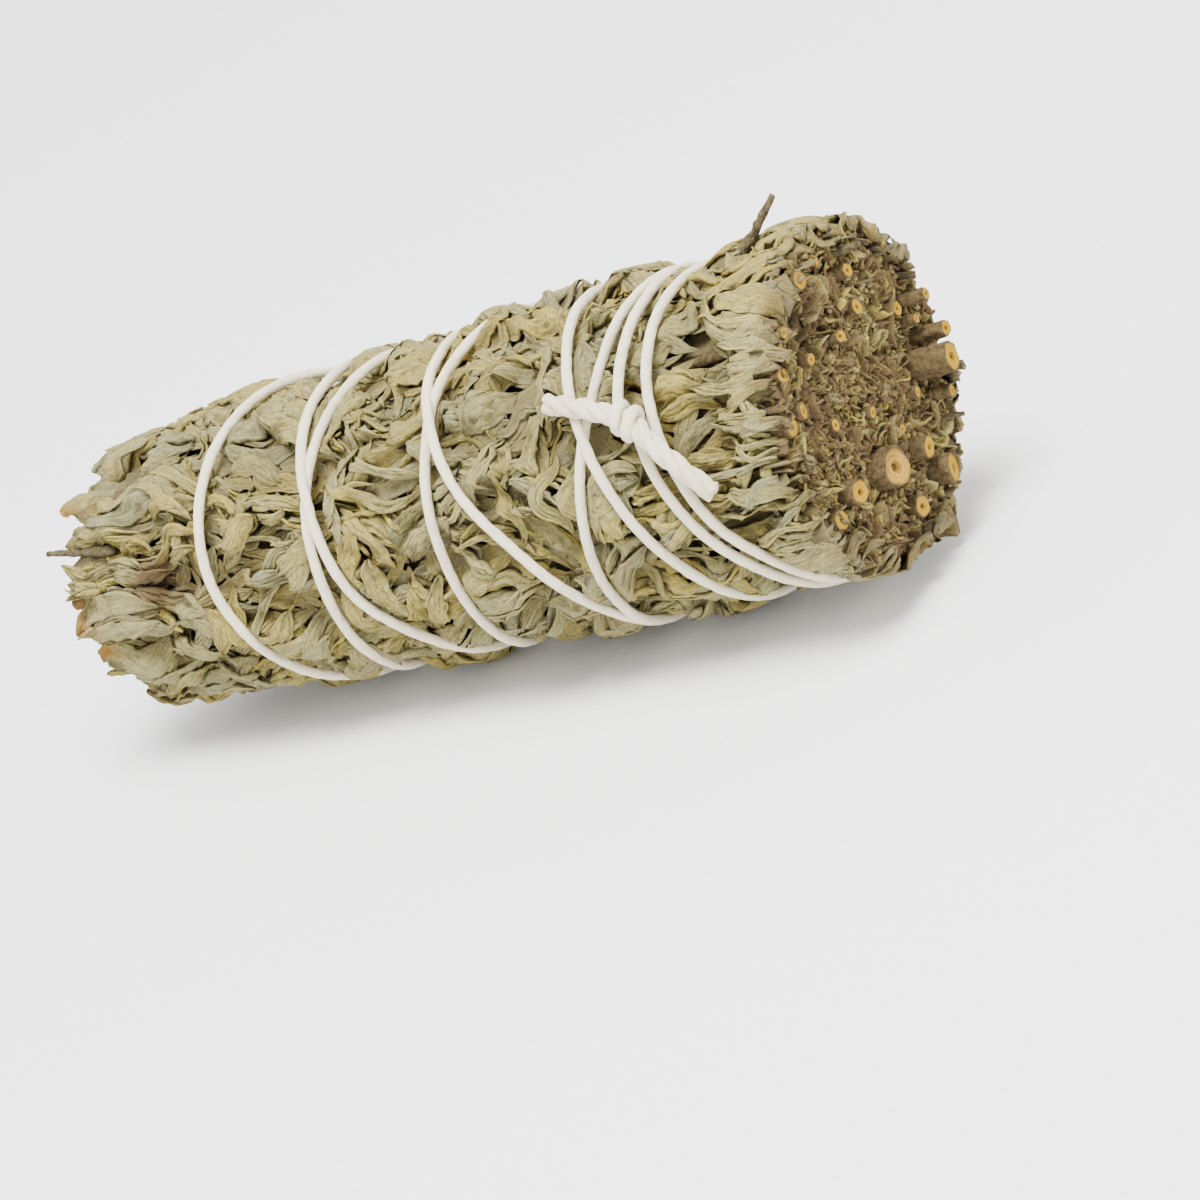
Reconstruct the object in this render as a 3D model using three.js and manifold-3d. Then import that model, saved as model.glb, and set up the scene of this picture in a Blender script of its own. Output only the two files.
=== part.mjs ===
// A sage bunch: dried white sage pressed into a roll, sawn off at one end and bound with cotton string.
// Millimetres, +Z up. The bunch lies along X on the plane z = 0, sawn end toward +X, tips toward -X.
import * as THREE from "three";
import { mergeVertices } from "three/addons/utils/BufferGeometryUtils.js";
import Module from "manifold-3d";

const wasm = await Module();
wasm.setup();

// Driving dimensions of the roll. Places along it are measured from its middle.
const HALF_LENGTH = 50;
const RADIUS_STATIONS = [
  [-60, 12.2],
  [-50, 13.9],
  [-29, 16.7],
  [-3, 16.9],
  [9, 18.1],
  [34, 17.9],
  [60, 17.9],
]; // the surface that the string is drawn down to; the leaves bulge past it between the turns
const RISE = 0.03; // how much the axis climbs toward the sawn end, so that the thinner tips rest as well
const FLOOR_CLEARANCE = 0.35; // room left under the lowest turn of string
const SHOW_SIDE = 156; // degrees from +Y toward +Z of the side that carries the knot
const CLEARANCE = 0.3; // between separate pieces

// Leaves pressed against the roll, as relief over a fine net. Pairs are the ends of a random draw.
const NET_STEP = 2.2; // along the roll
const NET_SIDES = 54;
const NET_START = -46;
const ROUNDING_START = -40; // from here the leafy end rounds off
const ROUNDING_DEPTH = 2.2;
const CREVICE_DEPTH = 1.9;
const PRESSED_COUNT = 210;
const PRESSED_LEAF = { length: [12, 22], width: [4.2, 7.6], lift: [-1.5, 0.7], tipLift: [-0.4, 0.8] };
const CROSSWISE_SHARE = 0.25; // of the pressed leaves
const CROSSWISE_HEADING = [-80, 80];
const LENGTHWISE_HEADING = [-34, 34];
const LEAF_RELIEF = 1.3;
const LEAF_ARCH = 0.6; // how much of the relief is lost at a pressed leaf's edges
const LEAF_TWIST = { share: 0.35, waves: 5 }; // its edges rise and fall in turn along its length
const LEAF_EDGE = { share: 0.2, waves: 7 }; // its outline goes in and out
const SADDLE_DEPTH = 0.55; // how far the string presses the leaves in
const SADDLE_HALF_WIDTH = 2.3;
const SADDLE_SLOPE = 0.9;
const TAIL_FOOTPRINT = { x: [18.5, 43], angle: [-34, 26], cap: 0.6 };

// Leaves that stand free of the roll.
const LEAF_THICKNESS = 1.2;
const LEAF_ROOT = 1.2; // how far a leaf's foot is sunk below the surface
const BLADE_STATIONS = [
  [-0.3, 0.62, -0.3, 0],
  [0, 1, 0, 0],
  [0.28, 0.8, 0, 0.4],
]; // share of its length, share of its width, change of height, share of its tip's lift
const LOOSE_TRIES = 900;
const LOOSE_SPACING = 9.5;
const LOOSE_STRETCH = 1.4; // along the roll the spacing is this much wider
const LOOSE_LEAF = {
  x: [-42, 38],
  angle: [0, 360],
  heading: [-24, 24],
  length: [9, 13],
  width: [5, 7],
  lift: [0.4, 1],
  wave: [0.3, 0.6],
  tipLift: [-0.1, 0.6],
};
const RIM_LEAF_COUNT = 16;
const RIM_JITTER = [-4, 4]; // degrees off even spacing
const RIM_LEAF = {
  x: [47.5, 48.1],
  heading: [172, 188],
  length: [6.8, 7.2],
  width: [5.8, 6.8],
  lift: [-0.2, 0.3],
  wave: [0.1, 0.3],
  tipLift: [-0.2, 0.2],
};
const TIP_LEAF_COUNT = 18;
const TIP_LEAF = {
  x: [-50, -47.5],
  heading: [-16, 16],
  length: [11, 15],
  width: [4.6, 6.4],
  lift: [0, 0],
  wave: [0.3, 0.7],
  tipLift: [-1.2, 0.8],
};
const TIP_RINGS = [12.6, 9.2, 4.8]; // distances of the leafy tips from the axis
const GOLDEN_ANGLE = 137.508;
const WELD = 0.02; // edges of a joined solid shorter than this may close up
const MERGE_DISTANCE = 1e-4; // points nearer to each other than this are one point
const DEGREE = Math.PI / 180;

// Sawn end.
const CORE_END = 46.8;
const CUT_PAD_START = CORE_END + CLEARANCE;
const CUT_PAD_END = 48.8;
const CUT_PAD_RADIUS = 15.9;
const CUT_PAD_SIDES = 26;
const SAW_ROUGHNESS = 0.6; // how far the leaves may stand past the saw cut
const CUT_RIBBON_COUNT = 26;
const CUT_RIBBON = { heading: [0, 180], length: [4.5, 7], standOut: [-0.2, 0.9], bend: [0.5, 1.1] };
const RIBBON_THICKNESS = [1.5, 0.6]; // at its foot and at its edge
const RIBBON_STATIONS = [-0.4, 0, 0.4]; // shares of its length
const RIBBON_SINK = 0.6; // how far its foot is sunk into the pad
const RIBBON_END_RISE = 0.2; // of its two pointed ends over its foot
const RIBBON_OVERHANG = 1; // how far the outermost ribbons may reach past the pad's edge

// Cut stems on the sawn face: toward the knot's side, down the face, diameter, stand-out.
const CUT_STEMS = [
  [-11.3, -2.1, 3.3, 4.5],
  [-13.0, -5.2, 1.9, 3.5],
  [-11.3, -9.4, 1.5, 3.0],
  [-10.6, -7.0, 1.2, 1.5],
  [-8.0, -8.6, 1.7, 1.0],
  [0.2, -14.0, 1.7, 1.0],
  [-0.7, -9.9, 1.9, 0.6],
  [10.5, -5.7, 1.5, 0.5],
  [16.1, -4.8, 1.9, 0.2],
  [14.0, -9.2, 1.5, 0.2],
  [14.2, -0.6, 1.9, 0.5],
  [3.8, -7.3, 1.5, 0.5],
  [0.7, 1.6, 1.5, 0.5],
  [-8.4, 0.8, 1.5, 1.0],
  [0.9, 7.9, 4.6, 2.0],
  [8.3, 9.4, 2.9, 1.5],
  [-7.4, 6.9, 2.5, 1.5],
  [-10.6, 9.8, 3.3, 2.0],
  [-4.2, 12.9, 2.7, 1.0],
  [11.6, 11.8, 2.3, 0.5],
  [8.6, 1.8, 1.5, 0.5],
  [16.6, 0.8, 2.1, 0.2],
  [-13.0, 1.6, 1.5, 2.5],
  [8.8, -14.2, 2.1, 0.2],
  [5.2, -15.9, 1.5, 0.2],
  [8.9, 14.0, 1.2, 0.2],
  [-4.4, 4.2, 1.2, 0.5],
];
const STEM_LENGTH = 45;
const STEM_SIDES = 8;
const HOLE_SIDES = 6;
const HOLE_OVERRUN = 6; // past the stem's free end
const STEM_CONVERGE = 0.82; // the buried ends lie this much nearer the axis

// Stems that show among the leafy tips: angle from the knot's side, distance from the axis, stand-out.
const TIP_STEMS = [
  [-38, 9.5, 5.0],
  [8, 11.5, 5.6],
  [46, 10.5, 4.2],
  [150, 7.5, 3.0],
  [-120, 8.5, 3.4],
];
const TIP_STEM_DIAMETER = 1.7;
const TIP_STEM_LENGTH = 24;
const TIP_FACE = -49;

// Cotton string: its turns as degrees wound on from the knot's side and places along the roll.
const STRING_DIAMETER = 2.0;
const STRING_SIDES = 5;
const STRING_STEP = 18; // degrees of winding between two rings of the tube
const STRING_SEAT = 1.1; // its centre line lies this far outside the surface that it is drawn down to
const CROSSING_LIFT = 1.0; // how much the returning string rides over the first one
const CROSSING_ANGLE = -25; // where the two cross, from the knot's side
const WIND_OUT = [
  [-24, 30.6],
  [2, 32.1],
  [29, 34.7],
  [52, 38.0],
  [90, 41.0],
  [180, 39.5],
  [270, 34.4],
  [341, 33.4],
  [389, 37.2],
  [412, 40.8],
  [450, 43.6],
  [540, 38.5],
  [630, 29.5],
  [697, 25.7],
  [729, 22.4],
  [754, 20.3],
  [779, 18.8],
  [900, 13.0],
  [990, 7.2],
  [1046, 3.1],
  [1084, 2.0],
  [1140, 0.5],
  [1260, -5.0],
  [1350, -9.5],
  [1423, -14.7],
  [1483, -16.5],
  [1620, -20.0],
  [1710, -23.5],
  [1740, -27.5],
  [1780, -30.6],
];
const WIND_BACK = [
  [1780, -30.6],
  [1821, -30.3],
  [1859, -27.0],
  [1890, -22.7],
  [1980, -18.5],
  [2070, -16.5],
  [2143, -14.7],
  [2185, -12.6],
  [2214, -8.3],
  [2250, -5.0],
  [2340, -2.0],
  [2430, 0.0],
  [2486, 3.1],
  [2519, 7.1],
  [2544, 12.0],
  [2575, 16.2],
  [2700, 18.0],
  [2790, 19.0],
  [2836, 21.8],
  [2865, 24.3],
  [2899, 27.3],
  [2926, 30.0],
  [2970, 32.6],
  [3060, 32.6],
  [3150, 30.2],
  [3216, 30.0],
];
const BACK_STARTS_OVER = 1860; // from here on the returning string rides over the first at each crossing
const ROUTE_SAMPLES = 12; // for each row of a route

// Knot and free end of the doubled string: angle, place along the roll, height above its seat.
const TAIL_ROUTE = [
  [-23, 21.0, 1.9],
  [-20, 24.4, 2.4],
  [-16, 28.4, 2.2],
  [-11, 32.2, 2.4],
  [-4, 34.6, 2.6],
  [6, 37.4, 2.2],
  [16, 40.2, 1.6],
];
const KNOT_PLACE = [-14, 31.0, 1.6];
const KNOT_RADIUS = 1.9;
const KNOT_NET = [8, 6];
const PLY_DIAMETER = 1.6;
const PLY_OFFSET = 0.6;
const PLY_TURNS = 3.5;
const PLY_STEPS = 16;

// Where the roll rests on its leaves: places along it and angles from straight down.
const REST_LEAVES = [
  [24.6, -9],
  [25.4, 8],
  [7, 0],
  [-11, -8],
  [-12, 9],
];
const REST_BITE = 0.25; // depth of the small flats that these leaves rest on
const REST_LEAF_LENGTH = 11.5;
const REST_LEAF_WIDTH = 6;
const REST_TIP_LIFT = -0.9;

// Small even random numbers from a fixed seed, the same on every run.
let seedState = 20263;
function random() {
  seedState = (seedState + 0x6d2b79f5) | 0;
  let mixed = Math.imul(seedState ^ (seedState >>> 15), 1 | seedState);
  mixed = (mixed + Math.imul(mixed ^ (mixed >>> 7), 61 | mixed)) ^ mixed;
  return ((mixed ^ (mixed >>> 14)) >>> 0) / 4294967296;
}

function between([low, high]) {
  return low + (high - low) * random();
}

// One random draw from each range of a table of ranges.
function draw(ranges) {
  return Object.fromEntries(Object.entries(ranges).map(([key, range]) => [key, between(range)]));
}

// The value of a list of (position, value) rows at a position, on straight lines between the rows.
function interpolate(rows, at) {
  const next = rows.findIndex(([position]) => position > at);
  if (next < 1) return next === 0 ? rows[0][1] : rows.at(-1)[1];
  const [x0, y0] = rows[next - 1];
  const [x1, y1] = rows[next];
  return y0 + ((y1 - y0) * (at - x0)) / (x1 - x0);
}

function radiusAt(x) {
  return interpolate(RADIUS_STATIONS, x);
}

const STRING_REACH = STRING_SEAT + STRING_DIAMETER / 2;
const wrappedStations = RADIUS_STATIONS.filter(([x]) => Math.abs(x) < HALF_LENGTH);
const lowestString = wrappedStations.map(([x, radius]) => radius + STRING_REACH - RISE * x);
const AXIS_HEIGHT = FLOOR_CLEARANCE + Math.max(...lowestString);

// A point of the roll: place along it, degrees round it from the knot's side, and distance from its axis.
function onRoll(x, angle, radius) {
  const turn = (SHOW_SIDE + angle) * DEGREE;
  return new THREE.Vector3(x, radius * Math.cos(turn), AXIS_HEIGHT + RISE * x + radius * Math.sin(turn));
}

function toSolid(geometry) {
  const bare = geometry.clone();
  bare.deleteAttribute("normal");
  bare.deleteAttribute("uv");
  const merged = mergeVertices(bare, MERGE_DISTANCE);
  return new wasm.Manifold(
    new wasm.Mesh({
      numProp: 3,
      vertProperties: merged.attributes.position.array,
      triVerts: new Uint32Array(merged.index.array),
      tolerance: WELD,
    }),
  );
}

function join(solids) {
  return solids.reduce((whole, solid) => whole.add(solid));
}

// The largest connected piece of a solid: loose scraps and closed pockets are left behind.
function largestPiece(solid) {
  return solid.decompose().reduce((best, piece) => (piece.volume() > best.volume() ? piece : best));
}

function toGeometry(solid) {
  const { vertProperties, triVerts } = solid.getMesh();
  const geometry = new THREE.BufferGeometry();
  geometry.setAttribute("position", new THREE.BufferAttribute(vertProperties, 3));
  geometry.setIndex(new THREE.BufferAttribute(triVerts, 1));
  return geometry;
}

// A closed skin over rings of equally many points, between a first and a last point.
function skinOverRings(first, rings, last) {
  const sides = rings[0].length;
  const points = [first, ...rings.flat(), last];
  const faces = [];
  const lastRing = 1 + (rings.length - 1) * sides;
  for (let side = 0; side < sides; side++) {
    const next = (side + 1) % sides;
    faces.push(0, 1 + next, 1 + side);
    faces.push(points.length - 1, lastRing + side, lastRing + next);
    for (let ring = 0; ring < rings.length - 1; ring++) {
      const here = 1 + ring * sides;
      const there = here + sides;
      faces.push(here + side, here + next, there + next);
      faces.push(here + side, there + next, there + side);
    }
  }
  const geometry = new THREE.BufferGeometry().setFromPoints(points);
  geometry.setIndex(faces);
  const solid = toSolid(geometry);
  if (solid.volume() > 0) return solid;
  geometry.setIndex(faces.toReversed());
  return toSolid(geometry);
}

// One waved blade that stands free. Its heading is the angle between its length, foot to tip, and -X.
function leafBlade(leaf) {
  const { x, angle, heading, length, width, lift, wave, tipLift, backHeight, surface = radiusAt } = leaf;
  const cos = Math.cos(heading * DEGREE);
  const sin = Math.sin(heading * DEGREE);
  const place = (along, across, height) => {
    const px = x - along * cos + across * sin;
    const radius = surface(px);
    const turn = angle + (along * sin + across * cos) / radius / DEGREE;
    return onRoll(px, turn, radius + height);
  };
  const rings = BLADE_STATIONS.map(([share, spread, rise, tipShare], index) => {
    const height = lift + rise + tipShare * tipLift;
    const half = (width / 2) * spread;
    const ripple = index % 2 ? -wave : wave;
    return [
      place(length * share, -half, height + ripple),
      place(length * share, 0, height + LEAF_THICKNESS / 2),
      place(length * share, half, height - ripple),
      place(length * share, 0, backHeight ?? height - LEAF_THICKNESS / 2),
    ];
  });
  return skinOverRings(place(-length / 2, 0, -LEAF_ROOT), rings, place(length / 2, 0, lift + tipLift));
}

// The place along the roll of a wound route, as a smooth function of the degrees wound on.
function smoothRoute(route) {
  const track = new THREE.CatmullRomCurve3(route.map(([wound, x]) => new THREE.Vector3(wound, x, 0)));
  const even = track.getSpacedPoints(route.length * ROUTE_SAMPLES).map(({ x, y }) => [x, y]);
  const first = route[0][0];
  const last = route.at(-1)[0];
  return { first, last, at: (wound) => interpolate(even, wound) };
}

const WINDINGS = [WIND_OUT, WIND_BACK].map(smoothRoute);

// How far a place on the roll is from the nearest turn of string.
function stringDistance(x, angle) {
  let nearest = Infinity;
  for (const { first, last, at } of WINDINGS) {
    const start = angle + 360 * Math.ceil((first - angle) / 360);
    for (let wound = start; wound <= last; wound += 360) {
      nearest = Math.min(nearest, Math.abs(x - at(wound)));
    }
  }
  return nearest;
}

function underTail(x, angle) {
  const turn = wrapped(angle);
  const { x: reach, angle: sweep } = TAIL_FOOTPRINT;
  return x > reach[0] && x < reach[1] && turn > sweep[0] && turn < sweep[1];
}

function wrapped(angle) {
  return THREE.MathUtils.euclideanModulo(angle + 180, 360) - 180;
}

const pressedLeaves = Array.from({ length: PRESSED_COUNT }, (_, index) => {
  const heading = between(random() < CROSSWISE_SHARE ? CROSSWISE_HEADING : LENGTHWISE_HEADING) * DEGREE;
  return {
    ...draw(PRESSED_LEAF),
    x: 2 * HALF_LENGTH * ((index + random()) / PRESSED_COUNT - 0.5),
    angle: index * GOLDEN_ANGLE,
    cos: Math.cos(heading),
    sin: Math.sin(heading),
    phase: between([0, 2 * Math.PI]),
  };
});

// Height of the pressed leaves over the roll's surface: the highest leaf shows, held down by the string.
function reliefAt(x, angle) {
  let height = -CREVICE_DEPTH;
  for (const leaf of pressedLeaves) {
    const around = wrapped(angle - leaf.angle) * DEGREE * radiusAt(x);
    const along = ((leaf.x - x) * leaf.cos + around * leaf.sin) / (leaf.length / 2);
    if (Math.abs(along) >= 1) continue;
    const edge = 1 + LEAF_EDGE.share * Math.sin(leaf.phase + LEAF_EDGE.waves * along);
    const half = (leaf.width / 2) * Math.sqrt(1 - along * along) * edge;
    const across = ((x - leaf.x) * leaf.sin + around * leaf.cos) / half;
    if (Math.abs(across) >= 1) continue;
    const twist = LEAF_TWIST.share * across * Math.sin(leaf.phase + LEAF_TWIST.waves * along);
    const crown = 1 - LEAF_ARCH * across * across + twist;
    height = Math.max(height, leaf.lift + leaf.tipLift * along + LEAF_RELIEF * crown);
  }
  const saddle = -SADDLE_DEPTH + Math.max(0, stringDistance(x, angle) - SADDLE_HALF_WIDTH) * SADDLE_SLOPE;
  return Math.min(height, saddle, underTail(x, angle) ? TAIL_FOOTPRINT.cap : Infinity);
}

// The roll itself: pressed leaves in relief, rounded off at the leafy end.
function roll() {
  const count = Math.round((CORE_END - NET_START) / NET_STEP);
  const rings = Array.from({ length: count + 1 }, (_, ring) => {
    const x = NET_START + ((CORE_END - NET_START) * ring) / count;
    const rounding = ROUNDING_DEPTH * Math.max(0, (ROUNDING_START - x) / (ROUNDING_START - NET_START)) ** 2;
    return Array.from({ length: NET_SIDES }, (_, side) => {
      const angle = (side * 360) / NET_SIDES;
      return onRoll(x, angle, radiusAt(x) + reliefAt(x, angle) - rounding);
    });
  });
  return skinOverRings(onRoll(NET_START, 0, 0), rings, onRoll(CORE_END, 0, 0));
}

// Free leaves between the turns, kept apart from each other and clear of the string.
function looseLeaves() {
  const [out, back] = WINDINGS;
  const room = STRING_DIAMETER + 2 * CLEARANCE;
  const kept = woundTube(out, room, () => 0).add(woundTube(back, room, crossingLift));
  const places = [];
  const leaves = [];
  for (let attempt = 0; attempt < LOOSE_TRIES; attempt++) {
    const leaf = draw(LOOSE_LEAF);
    const apart = places.every((other) => {
      const around = wrapped(other.angle - leaf.angle) * DEGREE * radiusAt(leaf.x);
      return Math.hypot((other.x - leaf.x) / LOOSE_STRETCH, around) > LOOSE_SPACING;
    });
    if (!apart || underTail(leaf.x, leaf.angle)) continue;
    const solid = leafBlade(leaf);
    if (solid.intersect(kept).volume() > 0) continue;
    places.push(leaf);
    leaves.push(solid);
  }
  return leaves;
}

// Leaves at the sawn end, which run along the roll and stop at the saw cut.
function rimLeaves() {
  return Array.from({ length: RIM_LEAF_COUNT }, (_, index) =>
    leafBlade({ ...draw(RIM_LEAF), angle: (index * 360) / RIM_LEAF_COUNT + between(RIM_JITTER) }),
  );
}

// Leafy tips, which stand out of the thinner end in rings.
function tipLeaves() {
  return Array.from({ length: TIP_LEAF_COUNT }, (_, index) => {
    const surface = () => TIP_RINGS[index % TIP_RINGS.length];
    return leafBlade({ ...draw(TIP_LEAF), angle: index * GOLDEN_ANGLE, surface });
  });
}

// Leaves whose backs the roll rests on.
function restLeaves() {
  return REST_LEAVES.map(([x, aside]) => {
    const down = 270 - SHOW_SIDE + aside;
    const floor = (AXIS_HEIGHT + RISE * x) / Math.cos(aside * DEGREE);
    return leafBlade({
      x,
      length: REST_LEAF_LENGTH,
      angle: down,
      heading: 0,
      width: REST_LEAF_WIDTH,
      lift: floor - radiusAt(x) + REST_BITE - LEAF_THICKNESS / 2,
      wave: 0,
      tipLift: REST_TIP_LIFT,
      backHeight: -LEAF_ROOT,
    });
  });
}

function polygon(diameter, sides) {
  return new THREE.Shape(
    Array.from({ length: sides }, (_, side) => {
      const turn = (side * 2 * Math.PI) / sides;
      return new THREE.Vector2((diameter / 2) * Math.cos(turn), (diameter / 2) * Math.sin(turn));
    }),
  );
}

// A straight prism between two points, as a stem or as the hole that it stands in.
function prism(from, to, diameter, sides) {
  const extrudePath = new THREE.LineCurve3(from, to);
  const shape = polygon(diameter, sides);
  return new THREE.ExtrudeGeometry(shape, { steps: 1, extrudePath, bevelEnabled: false });
}

// A cut stem's buried end and its sawn end.
function cutStemEnds([near, down, , standOut]) {
  const angle = Math.atan2(down, near) / DEGREE;
  const radius = Math.hypot(near, down);
  return [
    onRoll(HALF_LENGTH - STEM_LENGTH, angle, radius * STEM_CONVERGE),
    onRoll(HALF_LENGTH + standOut, angle, radius),
  ];
}

function tipStemEnds([angle, radius, standOut]) {
  return [onRoll(TIP_FACE + TIP_STEM_LENGTH, angle, radius), onRoll(TIP_FACE - standOut, angle, radius)];
}

// The hole that a stem stands in, which is closed inside and runs on past its free end.
function stemHole([buried, free], diameter) {
  const along = free.clone().sub(buried).normalize();
  const from = buried.clone().addScaledVector(along, -CLEARANCE);
  const to = free.clone().addScaledVector(along, HOLE_OVERRUN);
  return toSolid(prism(from, to, (diameter + 2 * CLEARANCE) / Math.cos(Math.PI / HOLE_SIDES), HOLE_SIDES));
}

const stemHoles = join([
  ...CUT_STEMS.map((stem) => stemHole(cutStemEnds(stem), stem[2])),
  ...TIP_STEMS.map((stem) => stemHole(tipStemEnds(stem), TIP_STEM_DIAMETER)),
]);

// A tube along a wound route, on the roll's surface.
function woundTube({ first, last, at }, diameter, liftAt) {
  const steps = Math.round((last - first) / STRING_STEP);
  const points = Array.from({ length: steps + 1 }, (_, step) => {
    const wound = first + ((last - first) * step) / steps;
    const x = at(wound);
    return onRoll(x, wound, radiusAt(x) + STRING_SEAT + liftAt(wound));
  });
  return tube(points, diameter, steps);
}

function tube(points, diameter, steps) {
  const extrudePath = new THREE.CatmullRomCurve3(points);
  const shape = polygon(diameter, STRING_SIDES);
  return toSolid(new THREE.ExtrudeGeometry(shape, { steps, extrudePath, bevelEnabled: false }));
}

// The returning string lifts where it meets the first one, on the knot's side and opposite it.
function crossingLift(wound) {
  const nearness = Math.cos(2 * (wound - CROSSING_ANGLE) * DEGREE);
  return wound < BACK_STARTS_OVER ? 0 : CROSSING_LIFT * Math.max(0, nearness) ** 2;
}

function windings() {
  const [out, back] = WINDINGS;
  return woundTube(out, STRING_DIAMETER, () => 0).add(woundTube(back, STRING_DIAMETER, crossingLift));
}

// The doubled end of the string: two plies twisted round one route, and the knot that holds them.
function knotAndTail() {
  const seat = ([angle, x, height]) => onRoll(x, angle, radiusAt(x) + STRING_SEAT + height);
  const middle = new THREE.CatmullRomCurve3(TAIL_ROUTE.map(seat));
  const frames = middle.computeFrenetFrames(PLY_STEPS, false);
  const spine = middle.getSpacedPoints(PLY_STEPS);
  const plies = [0, Math.PI].map((phase) => {
    const points = spine.map((point, step) => {
      const turn = phase + (PLY_TURNS * 2 * Math.PI * step) / PLY_STEPS;
      return point
        .clone()
        .addScaledVector(frames.normals[step], PLY_OFFSET * Math.cos(turn))
        .addScaledVector(frames.binormals[step], PLY_OFFSET * Math.sin(turn));
    });
    return tube(points, PLY_DIAMETER, PLY_STEPS);
  });
  const knot = new THREE.SphereGeometry(KNOT_RADIUS, ...KNOT_NET);
  knot.translate(...seat(KNOT_PLACE).toArray());
  return join([...plies, toSolid(knot)]);
}

// Crushed leaf ends on the sawn face: a thin pad with waved ribbons standing on edge.
function cutLeafEnds() {
  const turns = Array.from({ length: CUT_PAD_SIDES }, (_, side) => (side * 360) / CUT_PAD_SIDES);
  const ring = (x) => turns.map((turn) => onRoll(x, turn, CUT_PAD_RADIUS));
  const pad = skinOverRings(
    onRoll(CUT_PAD_START, 0, 0),
    [ring(CUT_PAD_START), ring(CUT_PAD_END)],
    onRoll(CUT_PAD_END, 0, 0),
  );
  const spread = CUT_PAD_RADIUS - CUT_RIBBON.length[1] / 2 + RIBBON_OVERHANG;
  const ribbons = Array.from({ length: CUT_RIBBON_COUNT }, (_, index) => {
    const radius = spread * Math.sqrt((index + 0.5) / CUT_RIBBON_COUNT);
    return cutRibbon({ ...draw(CUT_RIBBON), radius, angle: index * GOLDEN_ANGLE });
  });
  return join([pad, ...ribbons]);
}

function cutRibbon({ radius, angle, heading, length, standOut, bend }) {
  const [foot, edge] = RIBBON_THICKNESS.map((thickness) => thickness / 2);
  const cos = Math.cos(heading * DEGREE);
  const sin = Math.sin(heading * DEGREE);
  const place = (share, side, x) => {
    const across = side + bend * Math.cos(share * 2 * Math.PI);
    const centre = onRoll(x, angle, radius);
    const along = share * length;
    return centre.add(new THREE.Vector3(0, along * cos - across * sin, along * sin + across * cos));
  };
  const low = CUT_PAD_END - RIBBON_SINK;
  const tipHeight = low + RIBBON_END_RISE;
  const top = HALF_LENGTH + standOut;
  const rings = RIBBON_STATIONS.map((share) => [
    place(share, -foot, low),
    place(share, foot, low),
    place(share, edge, top),
    place(share, -edge, top),
  ]);
  return skinOverRings(place(-0.5, 0, tipHeight), rings, place(0.5, 0, tipHeight));
}

function leaves() {
  const whole = join([roll(), ...looseLeaves(), ...rimLeaves(), ...tipLeaves(), ...restLeaves()]);
  const size = 4 * HALF_LENGTH;
  const floor = new THREE.BoxGeometry(size, size, size);
  floor.translate(0, 0, -size / 2);
  const beyondSaw = new THREE.BoxGeometry(size, size, size);
  beyondSaw.translate(HALF_LENGTH + SAW_ROUGHNESS + size / 2, 0, 0);
  const padRoom = prism(
    onRoll(CORE_END, 0, 0),
    onRoll(2 * HALF_LENGTH, 0, 0),
    (2 * (CUT_PAD_RADIUS + CLEARANCE)) / Math.cos(Math.PI / CUT_PAD_SIDES),
    CUT_PAD_SIDES,
  );
  const cuts = [stemHoles, toSolid(floor), toSolid(padRoom), toSolid(beyondSaw)];
  return largestPiece(cuts.reduce((solid, cut) => solid.subtract(cut), whole));
}

function material(color, roughness) {
  return new THREE.MeshStandardMaterial({ color, roughness, metalness: 0 });
}

const bunch = new THREE.Group();
function addPiece(name, geometry, finish) {
  const mesh = new THREE.Mesh(geometry, finish);
  mesh.name = name;
  bunch.add(mesh);
}

const leafFinish = material(0xa3a184, 0.95);
const cutFinish = material(0x80694a, 0.95);
const woodFinish = material(0xb8925a, 0.8);
const tipFinish = material(0xa9743d, 0.8);
const stringFinish = material(0xe9e3d6, 0.9);

addPiece("sage_leaves", toGeometry(leaves()), leafFinish);
addPiece("cut_leaf_ends", toGeometry(largestPiece(cutLeafEnds().subtract(stemHoles))), cutFinish);
CUT_STEMS.forEach((stem, index) => {
  const name = `cut_stem_${String(index + 1).padStart(2, "0")}`;
  addPiece(name, prism(...cutStemEnds(stem), stem[2], STEM_SIDES), woodFinish);
});
TIP_STEMS.forEach((stem, index) => {
  addPiece(`tip_stem_${index + 1}`, prism(...tipStemEnds(stem), TIP_STEM_DIAMETER, STEM_SIDES), tipFinish);
});
addPiece("tie_string", toGeometry(largestPiece(windings().add(knotAndTail()))), stringFinish);

const box = new THREE.Box3().setFromObject(bunch, true);
bunch.position.set(-(box.min.x + box.max.x) / 2, -(box.min.y + box.max.y) / 2, -box.min.z);

export default bunch;
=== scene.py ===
# A sage bunch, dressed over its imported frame: draped leaves, crushed sawn end, cut stems, cotton string.
import math

import bpy
import numpy as np
from mathutils import Matrix, Vector


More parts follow.
